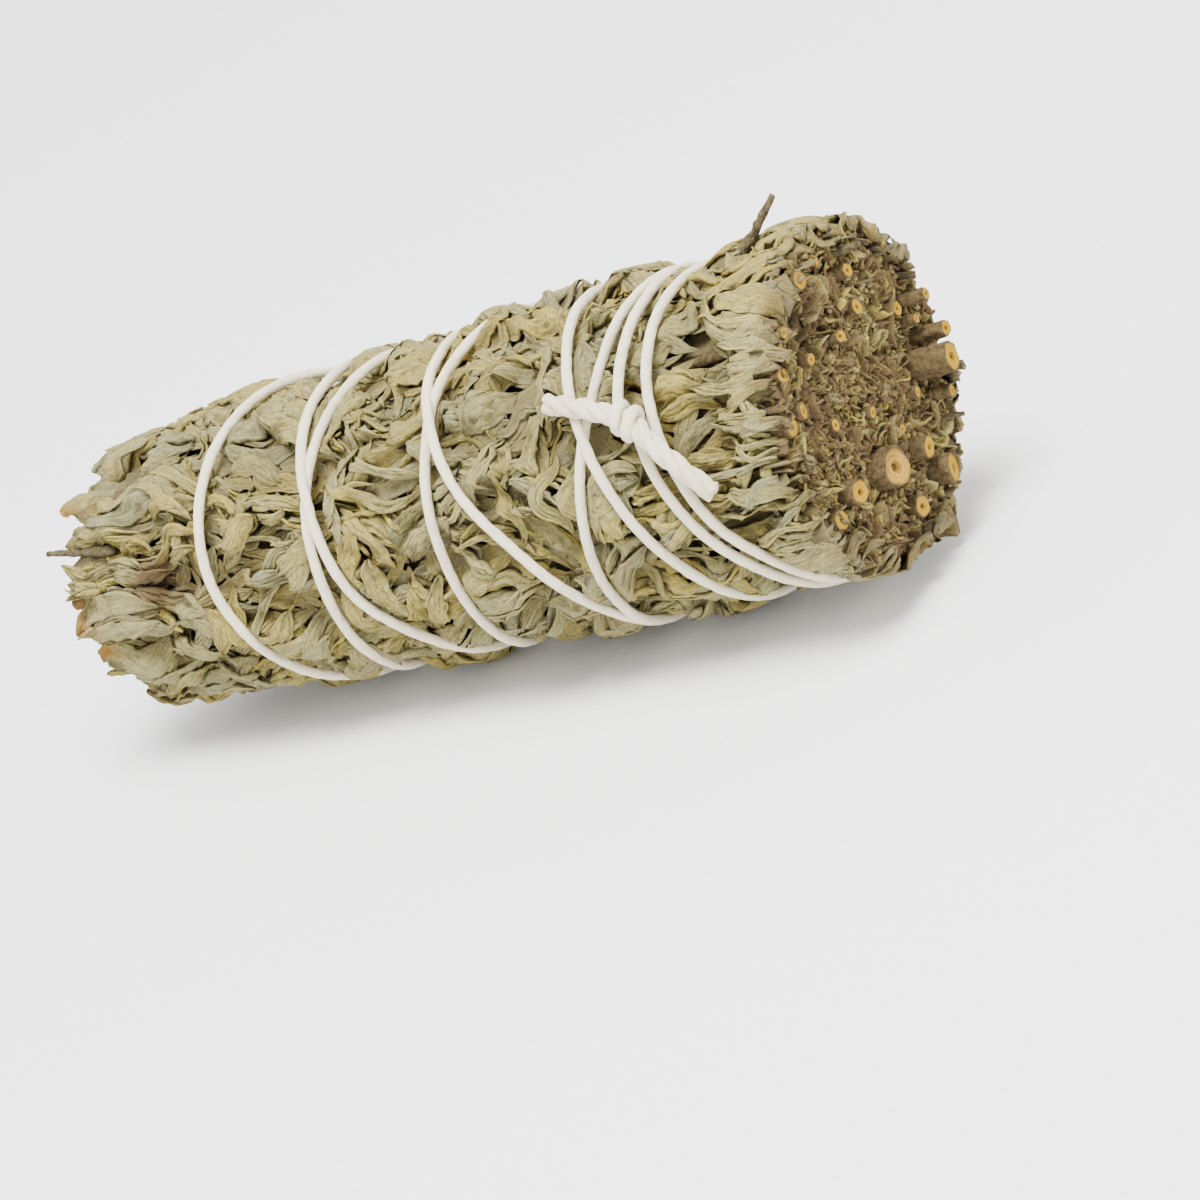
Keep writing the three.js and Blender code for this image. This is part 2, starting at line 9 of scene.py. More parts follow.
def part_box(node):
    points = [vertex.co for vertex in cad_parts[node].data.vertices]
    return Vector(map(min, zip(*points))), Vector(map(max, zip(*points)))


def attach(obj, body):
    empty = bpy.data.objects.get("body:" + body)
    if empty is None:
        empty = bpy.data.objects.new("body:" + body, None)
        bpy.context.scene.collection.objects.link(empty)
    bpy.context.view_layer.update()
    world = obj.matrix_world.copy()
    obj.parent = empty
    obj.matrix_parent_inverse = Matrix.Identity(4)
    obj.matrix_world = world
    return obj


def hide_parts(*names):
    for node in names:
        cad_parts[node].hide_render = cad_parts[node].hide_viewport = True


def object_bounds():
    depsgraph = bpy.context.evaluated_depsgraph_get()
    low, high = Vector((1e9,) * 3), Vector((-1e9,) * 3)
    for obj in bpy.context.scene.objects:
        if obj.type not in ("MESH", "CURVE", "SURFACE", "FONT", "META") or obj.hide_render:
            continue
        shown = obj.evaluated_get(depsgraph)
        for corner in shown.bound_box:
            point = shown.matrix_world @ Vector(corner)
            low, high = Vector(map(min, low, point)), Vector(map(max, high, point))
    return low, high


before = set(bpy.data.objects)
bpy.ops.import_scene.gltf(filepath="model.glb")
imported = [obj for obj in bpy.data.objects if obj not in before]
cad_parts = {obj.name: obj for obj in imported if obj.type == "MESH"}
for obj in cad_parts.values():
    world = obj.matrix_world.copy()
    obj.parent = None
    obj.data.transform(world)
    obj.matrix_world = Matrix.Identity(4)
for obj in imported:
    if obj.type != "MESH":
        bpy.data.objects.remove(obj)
cad_low, cad_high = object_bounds()

MM = 0.001
DEG = math.pi / 180
rng = np.random.default_rng(4117)

# Driving dimensions, in millimetres and degrees. Places along the roll are measured from its middle.
HALF_LENGTH = 50.0
RADIUS_STATIONS = [(-60, 12.2), (-50, 13.9), (-29, 16.7), (-3, 16.9), (9, 18.1), (34, 17.9), (60, 17.9)]
RISE = 0.03
SHOW_SIDE = 156.0
FLOOR_CLEARANCE = 0.35
STRING_REACH = 2.1
CUT_PAD_START = 47.1
CUT_FACE = 49.0
CUT_RADIUS = 16.6
CUT_BACK = 45.8
CUT_HOLLOW = {"near": 8.6, "down": -8.0, "radius": 3.0, "depth": 2.6}
CORE_DEPTH = 3.0
MEAN_RADIUS = 17

# Levels over the roll's surface: the leaves' middle level, and how far they rise over it and sink under it.
LEAF_LEVEL = 0.1
LEAF_RAISE = 1.3
LEAF_SINK = 1.8

# Where the pile stands higher: place along the roll, degrees round it, reach along, reach round, height.
SWELLS = [
    (20, -92, 34, 42, 0.8), (46, -104, 7, 38, 1.3), (-16, 92, 9, 30, 0.5), (-50, 84, 9, 30, 1.5),
    (25, 114, 5.5, 20, 1.9), (7, 114, 6.5, 16, 1.4), (-11, 114, 5.5, 20, 1.9),
]
FLOOR_LEVEL = 0.02
GOLDEN_TURN = 137.508

# Cut stems on the sawn face: toward the knot's side, down the face, diameter, stand-out.
CUT_STEMS = [
    (-11.3, -2.1, 3.3, 4.5), (-13.0, -5.2, 1.9, 3.5), (-11.3, -9.4, 1.5, 3.0), (-10.6, -7.0, 1.2, 1.5),
    (-8.0, -8.6, 1.7, 1.0), (0.2, -14.0, 1.7, 1.0), (-0.7, -9.9, 1.9, 0.6), (10.5, -5.7, 1.5, 0.5),
    (16.1, -4.8, 1.9, 0.2), (14.0, -9.2, 1.5, 0.2), (14.2, -0.6, 1.9, 0.5), (3.8, -7.3, 1.5, 0.5),
    (0.7, 1.6, 1.5, 0.5), (-8.4, 0.8, 1.5, 1.0), (0.9, 7.9, 4.6, 2.0), (8.3, 9.4, 2.9, 1.5),
    (-7.4, 6.9, 2.5, 1.5), (-10.6, 9.8, 3.3, 2.0), (-4.2, 12.9, 2.7, 1.0), (11.6, 11.8, 2.3, 0.5),
    (8.6, 1.8, 1.5, 0.5), (16.6, 0.8, 2.1, 0.2), (-13.0, 1.6, 1.5, 2.5), (8.8, -14.2, 2.1, 0.2),
    (5.2, -15.9, 1.5, 0.2), (8.9, 14.0, 1.2, 0.2), (-4.4, 4.2, 1.2, 0.5),
]
STEM_LENGTH = 45.0
STEM_CONVERGE = 0.62
TIP_STEMS = [(-38, 9.5, 5.0), (8, 11.5, 5.6), (46, 10.5, 4.2), (150, 7.5, 3.0), (-120, 8.5, 3.4)]
TIP_STEM_DIAMETER = 1.7
TIP_STEM_LENGTH = 24.0
TIP_FACE = -49.0

# Cotton string: degrees wound on from the knot's side, and place along the roll.
WIND_OUT = [
    (-24, 30.6), (2, 32.1), (29, 34.7), (52, 38.0), (90, 41.0), (180, 39.5), (270, 34.4), (341, 33.4),
    (389, 37.2), (412, 40.8), (450, 43.6), (540, 38.5), (630, 29.5), (697, 25.7), (729, 22.4), (754, 20.3),
    (779, 18.8), (900, 13.0), (990, 7.2), (1046, 3.1), (1084, 2.0), (1140, 0.5), (1260, -5.0), (1350, -9.5),
    (1423, -14.7), (1483, -16.5), (1620, -20.0), (1710, -23.5), (1740, -27.5), (1780, -30.6),
]
WIND_BACK = [
    (1780, -30.6), (1821, -30.3), (1859, -27.0), (1890, -22.7), (1980, -18.5), (2070, -16.5), (2143, -14.7),
    (2185, -12.6), (2214, -8.3), (2250, -5.0), (2340, -2.0), (2430, 0.0), (2486, 3.1), (2519, 7.1),
    (2544, 12.0), (2575, 16.2), (2700, 18.0), (2790, 19.0), (2836, 21.8), (2865, 24.3), (2899, 27.3),
    (2926, 30.0), (2970, 32.6), (3060, 32.6), (3150, 30.2), (3216, 30.0),
]
ROUTE = np.array(WIND_OUT + WIND_BACK[1:], dtype=float)
STRING_RADIUS = 0.6
STRING_SEAT = 0.5
CROSSING_LIFT = 0.9
CROSSING_ANGLE = -25.0
KNOT_TUCK = 10.0
BACK_STARTS_OVER = 1860.0
TAIL_ROUTE = [
    (-23, 21.0, 1.5), (-20, 24.4, 1.9), (-16, 28.4, 1.8), (-11, 32.2, 2.2), (-4, 34.6, 2.5), (6, 37.4, 2.1),
    (16, 40.2, 1.6),
]

# Loose twigs: place, degrees and height over the surface where each starts and ends, and its thickness.
LOOSE_TWIGS = [
    ((35.8, -84, -0.8), (43.4, -91, 6.0), 1.6), ((46.0, -90, -2.0), (53.2, -90, -1.4), 1.3),
    ((45.0, 162, -4.0), (52.0, 164, -1.8), 1.1), ((46.5, -118, -1.5), (51.6, -121, 0.0), 1.0),
    ((-46.0, -14, -1.0), (-56.0, -20, 0.6), 1.3),
]

# The roll's axis in the row frame follows from the pad of cut leaf ends, which is centred on it.
pad_low, pad_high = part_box("cut_leaf_ends")
SHIFT_X = pad_low[0] / MM - CUT_PAD_START
SHIFT_Y = (pad_low[1] + pad_high[1]) / 2 / MM
AXIS_HEIGHT = FLOOR_CLEARANCE + max(
    radius + STRING_REACH - RISE * x for x, radius in RADIUS_STATIONS if abs(x) < HALF_LENGTH
)


def hermite(rows, at):
    """A smooth curve through (position, value) rows, at many positions."""
    rows = np.asarray(rows, dtype=float)
    xs, ys = rows[:, 0], rows[:, 1]
    slopes = np.gradient(ys, xs)
    at = np.clip(at, xs[0], xs[-1])
    i = np.clip(np.searchsorted(xs, at, side="right") - 1, 0, len(xs) - 2)
    width = xs[i + 1] - xs[i]
    t = (at - xs[i]) / width
    return (
        (2 * t**3 - 3 * t**2 + 1) * ys[i]
        + (t**3 - 2 * t**2 + t) * width * slopes[i]
        + (-2 * t**3 + 3 * t**2) * ys[i + 1]
        + (t**3 - t**2) * width * slopes[i + 1]
    )


def radius_at(x):
    """The roll's radius at places along it."""
    return np.interp(x, *np.transpose(RADIUS_STATIONS))


def on_roll(x, angle, radius):
    """Points in metres: place along the roll, degrees from the knot's side, distance from the axis."""
    turn = (SHOW_SIDE + np.asarray(angle)) * DEG
    x, radius = np.broadcast_arrays(np.asarray(x, dtype=float), radius)
    y = radius * np.cos(turn) + SHIFT_Y
    z = AXIS_HEIGHT + RISE * x + radius * np.sin(turn)
    return np.stack(np.broadcast_arrays(x + SHIFT_X, y, z), axis=-1) * MM


def face_point(near, down, x):
    """A point over the sawn face, from its place toward the knot's side and down the face."""
    return on_roll(x, np.degrees(np.arctan2(down, near)), np.hypot(near, down))


FAR_OFF = 99.0


def string_distance(x, angle):
    """Distance along the roll to the nearest turn of string, for arrays of places."""
    nearest = np.full(np.shape(x), FAR_OFF)
    first, last = ROUTE[0, 0], ROUTE[-1, 0]
    for turn in range(-1, 10):
        wound = angle % 360 + 360 * turn
        inside = (wound >= first) & (wound <= last)
        distance = np.where(inside, np.abs(x - hermite(ROUTE, wound)), FAR_OFF)
        nearest = np.minimum(nearest, distance)
    return nearest


def smooth_noise(shape, cells, low=-1.0, high=1.0):
    """Soft random values on a grid, from a coarser grid of random ones."""
    coarse = rng.uniform(low, high, (cells[0] + 2, cells[1] + 2))
    u = np.linspace(0, cells[0], shape[0])
    v = np.linspace(0, cells[1], shape[1])
    iu, iv = np.floor(u).astype(int), np.floor(v).astype(int)
    fu, fv = (u - iu)[:, None], (v - iv)[None, :]
    fu, fv = fu * fu * (3 - 2 * fu), fv * fv * (3 - 2 * fv)
    a = coarse[np.ix_(iu, iv)]
    b = coarse[np.ix_(iu + 1, iv)]
    c = coarse[np.ix_(iu, iv + 1)]
    d = coarse[np.ix_(iu + 1, iv + 1)]
    return (a * (1 - fu) + b * fu) * (1 - fv) + (c * (1 - fu) + d * fu) * fv


def line_noise(count, cells):
    """Soft random values along a line."""
    return smooth_noise((count, 1), (cells, 1))[:, 0]


def ramp(value, start, reach, top=1):
    """Rises evenly from 0 at the start to 1 after the reach, but no higher than the top."""
    return np.clip((value - start) / reach, 0, top)


SEAM = (0.9, 0.1)


def seam_noise(shape, cells):
    """Soft random values that meet at the seam of a ring."""
    values = smooth_noise(shape, cells)
    share = ramp(np.linspace(0, 1, shape[1])[None, :], *SEAM)
    return values * (1 - share) + values[:, :1] * share


UP = (0.0, 0.0, 1.0)


def unit(vectors):
    """Vectors brought to length 1."""
    return vectors / np.linalg.norm(vectors, axis=-1, keepdims=True)


def side_axes(direction):
    """Two axes square to a direction, the first of them level."""
    aside = unit(np.cross(direction, UP))
    return aside, np.cross(direction, aside)


def along_spine(spine):
    """A spine's directions, and its length up to each point."""
    steps = np.linalg.norm(np.diff(spine, axis=0), axis=1)
    return unit(np.gradient(spine, axis=0)), np.concatenate([[0], np.cumsum(steps)])


def ring_points(centre, radius, around, aside, upright):
    """Points round a centre, or round each of many, on two axes."""
    across = (radius * np.cos(around))[..., None] * aside
    return centre + across + (radius * np.sin(around))[..., None] * upright


def circle(sides):
    """Angles round a ring."""
    return np.linspace(0, 2 * math.pi, sides, endpoint=False)


class Heap:
    """Meshes gathered into one object: closed tubes of rings, with values for each vertex."""

    def __init__(self, names):
        self.names = names
        self.points, self.faces, self.values = [], [], []
        self.count = 0

    def add_rings(self, rings, values):
        """Rings are (rings, sides, 3) and get a fan at each end; a value that isn't given is 0."""
        count, sides, _ = rings.shape
        points = np.concatenate([rings.reshape(-1, 3), [rings[0].mean(axis=0), rings[-1].mean(axis=0)]])
        index = np.arange(count * sides).reshape(count, sides)
        ahead = np.roll(index, -1, axis=1)
        quads = np.stack([index[:-1], ahead[:-1], ahead[1:], index[1:]], axis=-1).reshape(-1, 4)
        first = np.stack([ahead[0], index[0], np.full(sides, count * sides)], axis=-1)
        last = np.stack([index[-1], ahead[-1], np.full(sides, count * sides + 1)], axis=-1)
        faces = np.concatenate([quads[:, [0, 1, 2]], quads[:, [0, 2, 3]], first, last])
        a, b, c = (points[faces[:, k]] - points[0] for k in range(3))
        if np.einsum("ij,ij->", a, np.cross(b, c)) < 0:
            faces = faces[:, ::-1]
        self.points.append(points)
        self.faces.append(faces + self.count)
        table = []
        for name in self.names:
            value = np.broadcast_to(values.get(name, 0.0), (count, sides))
            table.append(np.concatenate([value.reshape(-1), [value[0].mean(), value[-1].mean()]]))
        self.values.append(np.stack(table, axis=-1))
        self.count += len(points)

    def build(self, name, material, replaced=()):
        """Makes the piece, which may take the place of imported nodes."""
        points = np.concatenate(self.points)
        faces = np.concatenate(self.faces)
        mesh = bpy.data.meshes.new(name)
        mesh.vertices.add(len(points))
        mesh.vertices.foreach_set("co", points.astype(np.float32).ravel())
        mesh.loops.add(faces.size)
        mesh.loops.foreach_set("vertex_index", faces.astype(np.int32).ravel())
        mesh.polygons.add(len(faces))
        mesh.polygons.foreach_set("loop_start", np.arange(0, faces.size, 3, dtype=np.int32))
        mesh.polygons.foreach_set("use_smooth", np.ones(len(faces), dtype=bool))
        mesh.update(calc_edges=True)
        values = np.concatenate(self.values)
        for column, attribute in enumerate(self.names):
            layer = mesh.attributes.new(attribute, "FLOAT", "POINT")
            layer.data.foreach_set("value", values[:, column].astype(np.float32))
        mesh.validate()
        piece = bpy.data.objects.new(name, mesh)
        bpy.context.scene.collection.objects.link(piece)
        piece.data.materials.append(material)
        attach(piece, "root")
        if replaced:
            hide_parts(*replaced)


class Nodes:
    """Short calls for building a node material."""

    def __init__(self, name):
        self.material = bpy.data.materials.new(name)
        self.material.use_nodes = True
        self.tree = self.material.node_tree
        self.shader = self.tree.nodes["Principled BSDF"]

    def link(self, source, target):
        self.tree.links.new(source, target)

    def attribute(self, name):
        node = self.tree.nodes.new("ShaderNodeAttribute")
        node.attribute_name = name
        return node.outputs["Fac"]

    def position(self):
        return self.tree.nodes.new("ShaderNodeTexCoord").outputs["Object"]

    def combine(self, *values):
        node = self.tree.nodes.new("ShaderNodeCombineXYZ")
        for socket, value in zip(node.inputs, values):
            self.link(value, socket)
        return node.outputs[0]

    def noise(self, vector, scale, detail=4.0, roughness=0.6):
        node = self.tree.nodes.new("ShaderNodeTexNoise")
        node.inputs["Scale"].default_value = scale
        node.inputs["Detail"].default_value = detail
        node.inputs["Roughness"].default_value = roughness
        self.link(vector, node.inputs["Vector"])
        return node.outputs["Fac"]

    def times(self, a, b):
        return self.math("MULTIPLY", a, b)

    def math(self, operation, a, b=0.0):
        node = self.tree.nodes.new("ShaderNodeMath")
        node.operation = operation
        for socket, value in zip(node.inputs, (a, b)):
            if isinstance(value, (int, float)):
                socket.default_value = value
            else:
                self.link(value, socket)
        return node.outputs[0]

    def remap(self, value, low, high, to_low=0.0, to_high=1.0):
        """Turns the range low to high into to_low to to_high, and stays within it."""
        node = self.tree.nodes.new("ShaderNodeMapRange")
        self.link(value, node.inputs["Value"])
        for socket, number in zip(list(node.inputs)[1:5], (low, high, to_low, to_high)):
            socket.default_value = number
        return node.outputs[0]

    def mix(self, factor, a, b):
        node = self.tree.nodes.new("ShaderNodeMix")
        node.data_type = "RGBA"
        if isinstance(factor, (int, float)):
            node.inputs[0].default_value = factor
        else:
            self.link(factor, node.inputs[0])
        for socket, value in ((node.inputs[6], a), (node.inputs[7], b)):
            if isinstance(value, tuple):
                socket.default_value = (*value, 1)
            else:
                self.link(value, socket)
        return node.outputs[2]

    def weighted(self, base, value, weight):
        """One value plus a share of another."""
        return self.math("ADD", base, self.times(value, weight))

    def finish(self, color, height, roughness, specular, sheen, depth):
        """Sets the shader; depth is the relief's height in millimetres."""
        bump = self.tree.nodes.new("ShaderNodeBump")
        bump.inputs["Strength"].default_value = 0.8
        bump.inputs["Distance"].default_value = depth * MM
        self.link(height, bump.inputs["Height"])
        self.link(bump.outputs["Normal"], self.shader.inputs["Normal"])
        self.link(color, self.shader.inputs["Base Color"])
        self.shader.inputs["Roughness"].default_value = roughness
        self.shader.inputs["Specular IOR Level"].default_value = specular
        self.shader.inputs["Sheen Weight"].default_value = sheen
        self.shader.inputs["Sheen Roughness"].default_value = 0.5
        return self.material


SAGE = (0.37, 0.325, 0.124)
# Painted highlight colour for the leaf ridges.
SAGE_PAINTED_HIGHLIGHT = (0.49, 0.44, 0.225)
SAGE_GREY = (0.285, 0.272, 0.137)
# Dark sage: real dark specks, and painted shade in the furrows and folds.
SAGE_DARK_SPECKS_AND_SHADE = (0.165, 0.127, 0.047)
STRAW = (0.43, 0.34, 0.066)
BROWN = (0.12, 0.075, 0.028)
AMBER = (0.38, 0.18, 0.012)
# Painted shade colour for buried, low and hollowed places.
CREVICE_PAINTED_SHADE = (0.075, 0.051, 0.02)

# Each range holds the values where a mix starts and ends and, where it has four numbers, its share at each.
WRINKLES_ACROSS = 3.4
WRINKLES_ALONG = 0.6
LEAF_SHIFT = 60.0
PATCH_SHARE = 0.5
GREY_RANGE = (0.45, 1.2)
STRAW_RANGE = (0.5, 1.1)
RIDGE_PAINTED_HIGHLIGHT = (0.52, 0.68, 0, 0.65)
FURROW_PAINTED_SHADE = (0.485, 0.36, 0, 0.85)
DARK_SPECKS = (0.49, 0.34, 0, 0.55)
FURROW_SHADE_SHARE = 0.65
PATCH_MIDDLE = 0.45
BROWN_PATCHINESS = 0.8
BROWN_START = 0.2
BROWN_FULL = 0.95
AMBER_RANGE = (0.35, 0.6, 0.35, 1.0)
FINE_RELIEF = 0.5


def leaf_material(name, brown_bias=0.0):
    """Dried sage, grey-green to straw, with browned patches, pale ridges that are painted highlight, and
    dark furrows and crevices that are painted shade.
    """
    n = Nodes(name)
    place = n.position()
    leaf, tone = n.attribute("leaf"), n.attribute("tone")
    patch = n.noise(place, scale=260, detail=3)
    fine = n.noise(place, scale=3000, detail=4)
    across = n.times(n.attribute("across"), WRINKLES_ACROSS)
    along = n.times(n.attribute("along"), WRINKLES_ALONG)
    grain = n.combine(across, along, n.times(leaf, LEAF_SHIFT))
    wrinkle = n.noise(grain, scale=1.3, detail=5, roughness=0.7)
    green = n.mix(n.remap(n.weighted(leaf, patch, PATCH_SHARE), *GREY_RANGE), SAGE, SAGE_GREY)
    color = n.mix(n.remap(n.weighted(tone, patch, PATCH_SHARE), *STRAW_RANGE), green, STRAW)
    # Painted highlight: the high parts of the wrinkle relief are lightened.
    color = n.mix(n.remap(wrinkle, *RIDGE_PAINTED_HIGHLIGHT), color, SAGE_PAINTED_HIGHLIGHT)
    # Painted shade: the low parts of the wrinkle relief are darkened.
    color = n.mix(n.remap(wrinkle, *FURROW_PAINTED_SHADE), color, SAGE_DARK_SPECKS_AND_SHADE)
    color = n.mix(n.remap(fine, *DARK_SPECKS), color, SAGE_DARK_SPECKS_AND_SHADE)
    # Painted shade: each leaf is darkened in the furrows between its ridges.
    color = n.mix(n.times(n.attribute("furrow_shade"), FURROW_SHADE_SHARE), color, SAGE_DARK_SPECKS_AND_SHADE)
    brown = n.weighted(n.attribute("brown"), n.math("SUBTRACT", patch, PATCH_MIDDLE), BROWN_PATCHINESS)
    color = n.mix(n.remap(brown, BROWN_START - brown_bias, BROWN_FULL - brown_bias), color, BROWN)
    amber = n.times(n.attribute("amber"), n.remap(patch, *AMBER_RANGE))
    color = n.mix(amber, color, AMBER)
    # Painted shade: the depth value darkens leaves toward the crevice colour.
    color = n.mix(n.attribute("depth"), color, CREVICE_PAINTED_SHADE)
    height = n.weighted(wrinkle, fine, FINE_RELIEF)
    return n.finish(color, height, roughness=0.9, specular=0.15, sheen=0.06, depth=0.9)


COTTON = (0.90, 0.81, 0.58)
COTTON_SHADE = (0.58, 0.48, 0.29)
# Painted shade colour for the low fibre streaks.
COTTON_STREAK_SHADE = (0.62, 0.54, 0.38)
COTTON_SOIL = (0.55, 0.47, 0.31)
# Painted highlight colour for the raised fibre streaks.
COTTON_PAINTED_HIGHLIGHT = (0.97, 0.90, 0.71)
STREAKS_AROUND = 3.0
STREAKS_ALONG = 0.5
GROOVE_SHADE_RANGE = (0.0, 0.55, 1, 0)
STREAK_SHADE_RANGE = (0.5, 0.32, 0, 0.7)
SOIL_RANGE = (0.48, 0.75, 0, 0.5)
PAINTED_HIGHLIGHT_RANGE = (0.52, 0.72, 0, 0.7)
FIBRE_RELIEF = 0.4


def string_material():
    """Cotton with streaks along the fibres and a little soil; painted shade in the grooves between plies
    and in the low streaks, painted highlight on the raised streaks.
    """
    n = Nodes("cotton_string_finish")
    place = n.position()
    streak_place = n.combine(
        n.times(n.attribute("strand_near"), STREAKS_AROUND),
        n.times(n.attribute("strand_far"), STREAKS_AROUND),
        n.times(n.attribute("along"), STREAKS_ALONG),
    )
    streak = n.noise(streak_place, scale=1.6, detail=4, roughness=0.7)
    fibre = n.noise(place, scale=3800, detail=3)
    soil = n.noise(place, scale=160, detail=3)
    # Painted shade: the grooves between plies are darkened.
    color = n.mix(n.remap(n.attribute("lobe"), *GROOVE_SHADE_RANGE), COTTON, COTTON_SHADE)
    # Painted shade: the low parts of the fibre streak relief are darkened.
    color = n.mix(n.remap(streak, *STREAK_SHADE_RANGE), color, COTTON_STREAK_SHADE)
    color = n.mix(n.remap(soil, *SOIL_RANGE), color, COTTON_SOIL)
    # Painted highlight: the raised parts of the fibre streak relief are lightened.
    color = n.mix(n.remap(streak, *PAINTED_HIGHLIGHT_RANGE), color, COTTON_PAINTED_HIGHLIGHT)
    height = n.weighted(streak, fibre, FIBRE_RELIEF)
    return n.finish(color, height, roughness=0.9, specular=0.1, sheen=0.3, depth=0.3)


WOOD_TINT = (0.36, 0.21, 0.045)
WOOD_RING = (0.19, 0.10, 0.014)
WOOD_PITH = (0.07, 0.035, 0.011)
WOOD_BRIGHT = (0.45, 0.29, 0.014)
WOOD_DARK = (0.17, 0.09, 0.02)
BARK_PALE = (0.12, 0.085, 0.04)
GRAIN_MIDDLE = 0.5
GRAIN_WANDER = 0.22
RING_FREQUENCY = 26.0
RING_RANGE = (0.1, 1.0, 0, 0.6)
PITH_RANGE = (0.34, 0.16)
BRIGHT_GRAIN = (0.5, 0.75, 0, 0.45)
DARK_GRAIN = (0.47, 0.3, 0, 0.5)
BARK_GRAIN = (0.35, 0.65)
BARK_EDGE = (0.8, 0.93)


def stem_material(name, wood, bark, bark_pale=BARK_PALE):
    """Bark outside, and on a cut end pale wood with rings round a dark pith."""
    n = Nodes(name)
    place = n.position()
    grain = n.noise(place, scale=1500, detail=4)
    fine = n.noise(place, scale=5200, detail=2)
    radial = n.weighted(n.attribute("radial"), n.math("SUBTRACT", grain, GRAIN_MIDDLE), GRAIN_WANDER)
    rings = n.math("SINE", n.times(radial, RING_FREQUENCY))
    pale = n.mix(n.attribute("tint"), wood, WOOD_TINT)
    pale = n.mix(n.remap(rings, *RING_RANGE), pale, WOOD_RING)
    pale = n.mix(n.remap(radial, *PITH_RANGE), pale, WOOD_PITH)
    pale = n.mix(n.remap(fine, *BRIGHT_GRAIN), pale, WOOD_BRIGHT)
    pale = n.mix(n.remap(fine, *DARK_GRAIN), pale, WOOD_DARK)
    skin = n.mix(n.remap(grain, *BARK_GRAIN), bark, bark_pale)
    edge = n.math("MAXIMUM", n.remap(radial, *BARK_EDGE), n.math("SUBTRACT", 1.0, n.attribute("cut")))
    color = n.mix(edge, pale, skin)
    height = n.weighted(grain, fine, FINE_RELIEF)
    return n.finish(color, height, roughness=0.85, specular=0.08, sheen=0.0, depth=0.3)


# Leaves are laid one by one on a map of the pile's height over the roll.
MAP_STEP = 0.4
MAP_X = np.arange(-62, 54, MAP_STEP)
MAP_SIDES = 288
pile = np.full((len(MAP_X), MAP_SIDES), -CORE_DEPTH)


def pile_index(x, angle):
    """The map's cells under places on the roll."""
    row = np.clip(np.round((x - MAP_X[0]) / MAP_STEP).astype(int), 0, len(MAP_X) - 1)
    column = np.round(angle / 360 * MAP_SIDES).astype(int) % MAP_SIDES
    return row, column


def blur(values, rounds):
    """Means of each value, counted twice, and its four neighbours, some rounds over."""
    for _ in range(rounds):
        padded = np.pad(values, 1, mode="edge")
        middle = padded[1:-1, 1:-1] * 2 + padded[:-2, 1:-1] + padded[2:, 1:-1]
        values = (middle + padded[1:-1, :-2] + padded[1:-1, 2:]) / 6
    return values


def spread(values, cells):
    """The map's local mean, which meets round the roll."""
    edge = 3 * cells
    reach = np.arange(-edge, edge + 1)
    weight = np.exp(-0.5 * (reach / cells) ** 2)
    weight /= weight.sum()
    values = sum(w * np.roll(values, k, axis=1) for k, w in zip(reach, weight))
    padded = np.pad(values, ((edge, edge), (0, 0)), mode="edge")
    rows = len(values)
    return sum(w * padded[edge + k : edge + k + rows] for k, w in zip(reach, weight))


LEAF_KINDS = {
    "rolled": dict(
        share=0.34, length=(5, 13), width=(0.8, 1.6), sides=11, ridges=(0.8, 1.7), ridge=0.3, buckle=0.35,
        curl=(0.3, 0.5), turn=46, spread=36, furrow_shade_share=0.7,
    ),
    "crumpled": dict(
        share=0.51, length=(5, 12), width=(1.4, 2.7), sides=19, ridges=(1.8, 3.6), ridge=0.6, buckle=0.4,
        curl=(0.2, 0.36), turn=36, spread=42, furrow_shade_share=1.0,
    ),
    "broad": dict(
        share=0.07, length=(8, 14), width=(3.0, 5.4), sides=25, ridges=(3.5, 6.0), ridge=0.36, buckle=0.35,
        curl=(0.2, 0.36), turn=16, spread=26, furrow_shade_share=0.7,
    ),
    "stalk": dict(
        share=0.08, length=(7, 18), width=(0.6, 1.0), sides=7, ridges=(0.3, 0.5), ridge=0.0, buckle=0.1,
        curl=(0.4, 0.6), turn=28, spread=40, furrow_shade_share=0.0,
    ),
}
# Browned patches: place along the roll, degrees round it, reach, strength.
BROWN_PATCHES = [(-39, 6, 3.4, 1.0), (-52, 76, 5.0, 0.6), (8, -75, 4.0, 0.3)]

# Shoots with amber tips at the thinner end: degrees round the roll, place of the tip, length, width.
TIP_SHOOTS = [
    (-38, -55.8, 15, 2.6), (10, -56.8, 17, 2.9), (22, -55.8, 15, 2.3), (42, -54.8, 13, 3.0),
    (-62, -51.0, 9, 3.2), (150, -55.0, 14, 2.6), (-120, -55.0, 14, 2.6),
]
LEAF_VALUES = ("tone", "depth", "brown", "along", "across", "leaf", "furrow_shade", "amber")
ROW_STEP = 0.62
FACE_SHARE = 0.68
EDGE_CURL = 130
STALK_END = 0.06
STALK_NARROWEST = 0.05
TIP_SHARE = 0.28
ROOT_SHARE = 0.3
NARROWEST = 0.02
TIP_BLUNTNESS = (0.35, 0.75)
ROOT_BLUNTNESS = 0.6


def leaf_outline(u, kind_name, sawn):
    """A leaf's share of its full width; a sawn leaf is wide where it was cut."""
    if kind_name == "stalk":
        return np.clip(np.minimum(u, 1 - u) / STALK_END, STALK_NARROWEST, 1) ** 0.5
    tip = np.clip((1 - u) / TIP_SHARE, NARROWEST, 1) ** rng.uniform(*TIP_BLUNTNESS)
    root = np.clip(u / ROOT_SHARE, NARROWEST, 1) ** ROOT_BLUNTNESS
    return tip if sawn else tip * root


WIDTH_WANDER = 0.2
RIDGE_WANDER = 0.6
BUCKLE_SLANT = 0.35
CRUMPLE_STEP = 0.8
TWIST = 0.2
TWIST_WANDER = 0.25
TWISTED_BELOW = 5


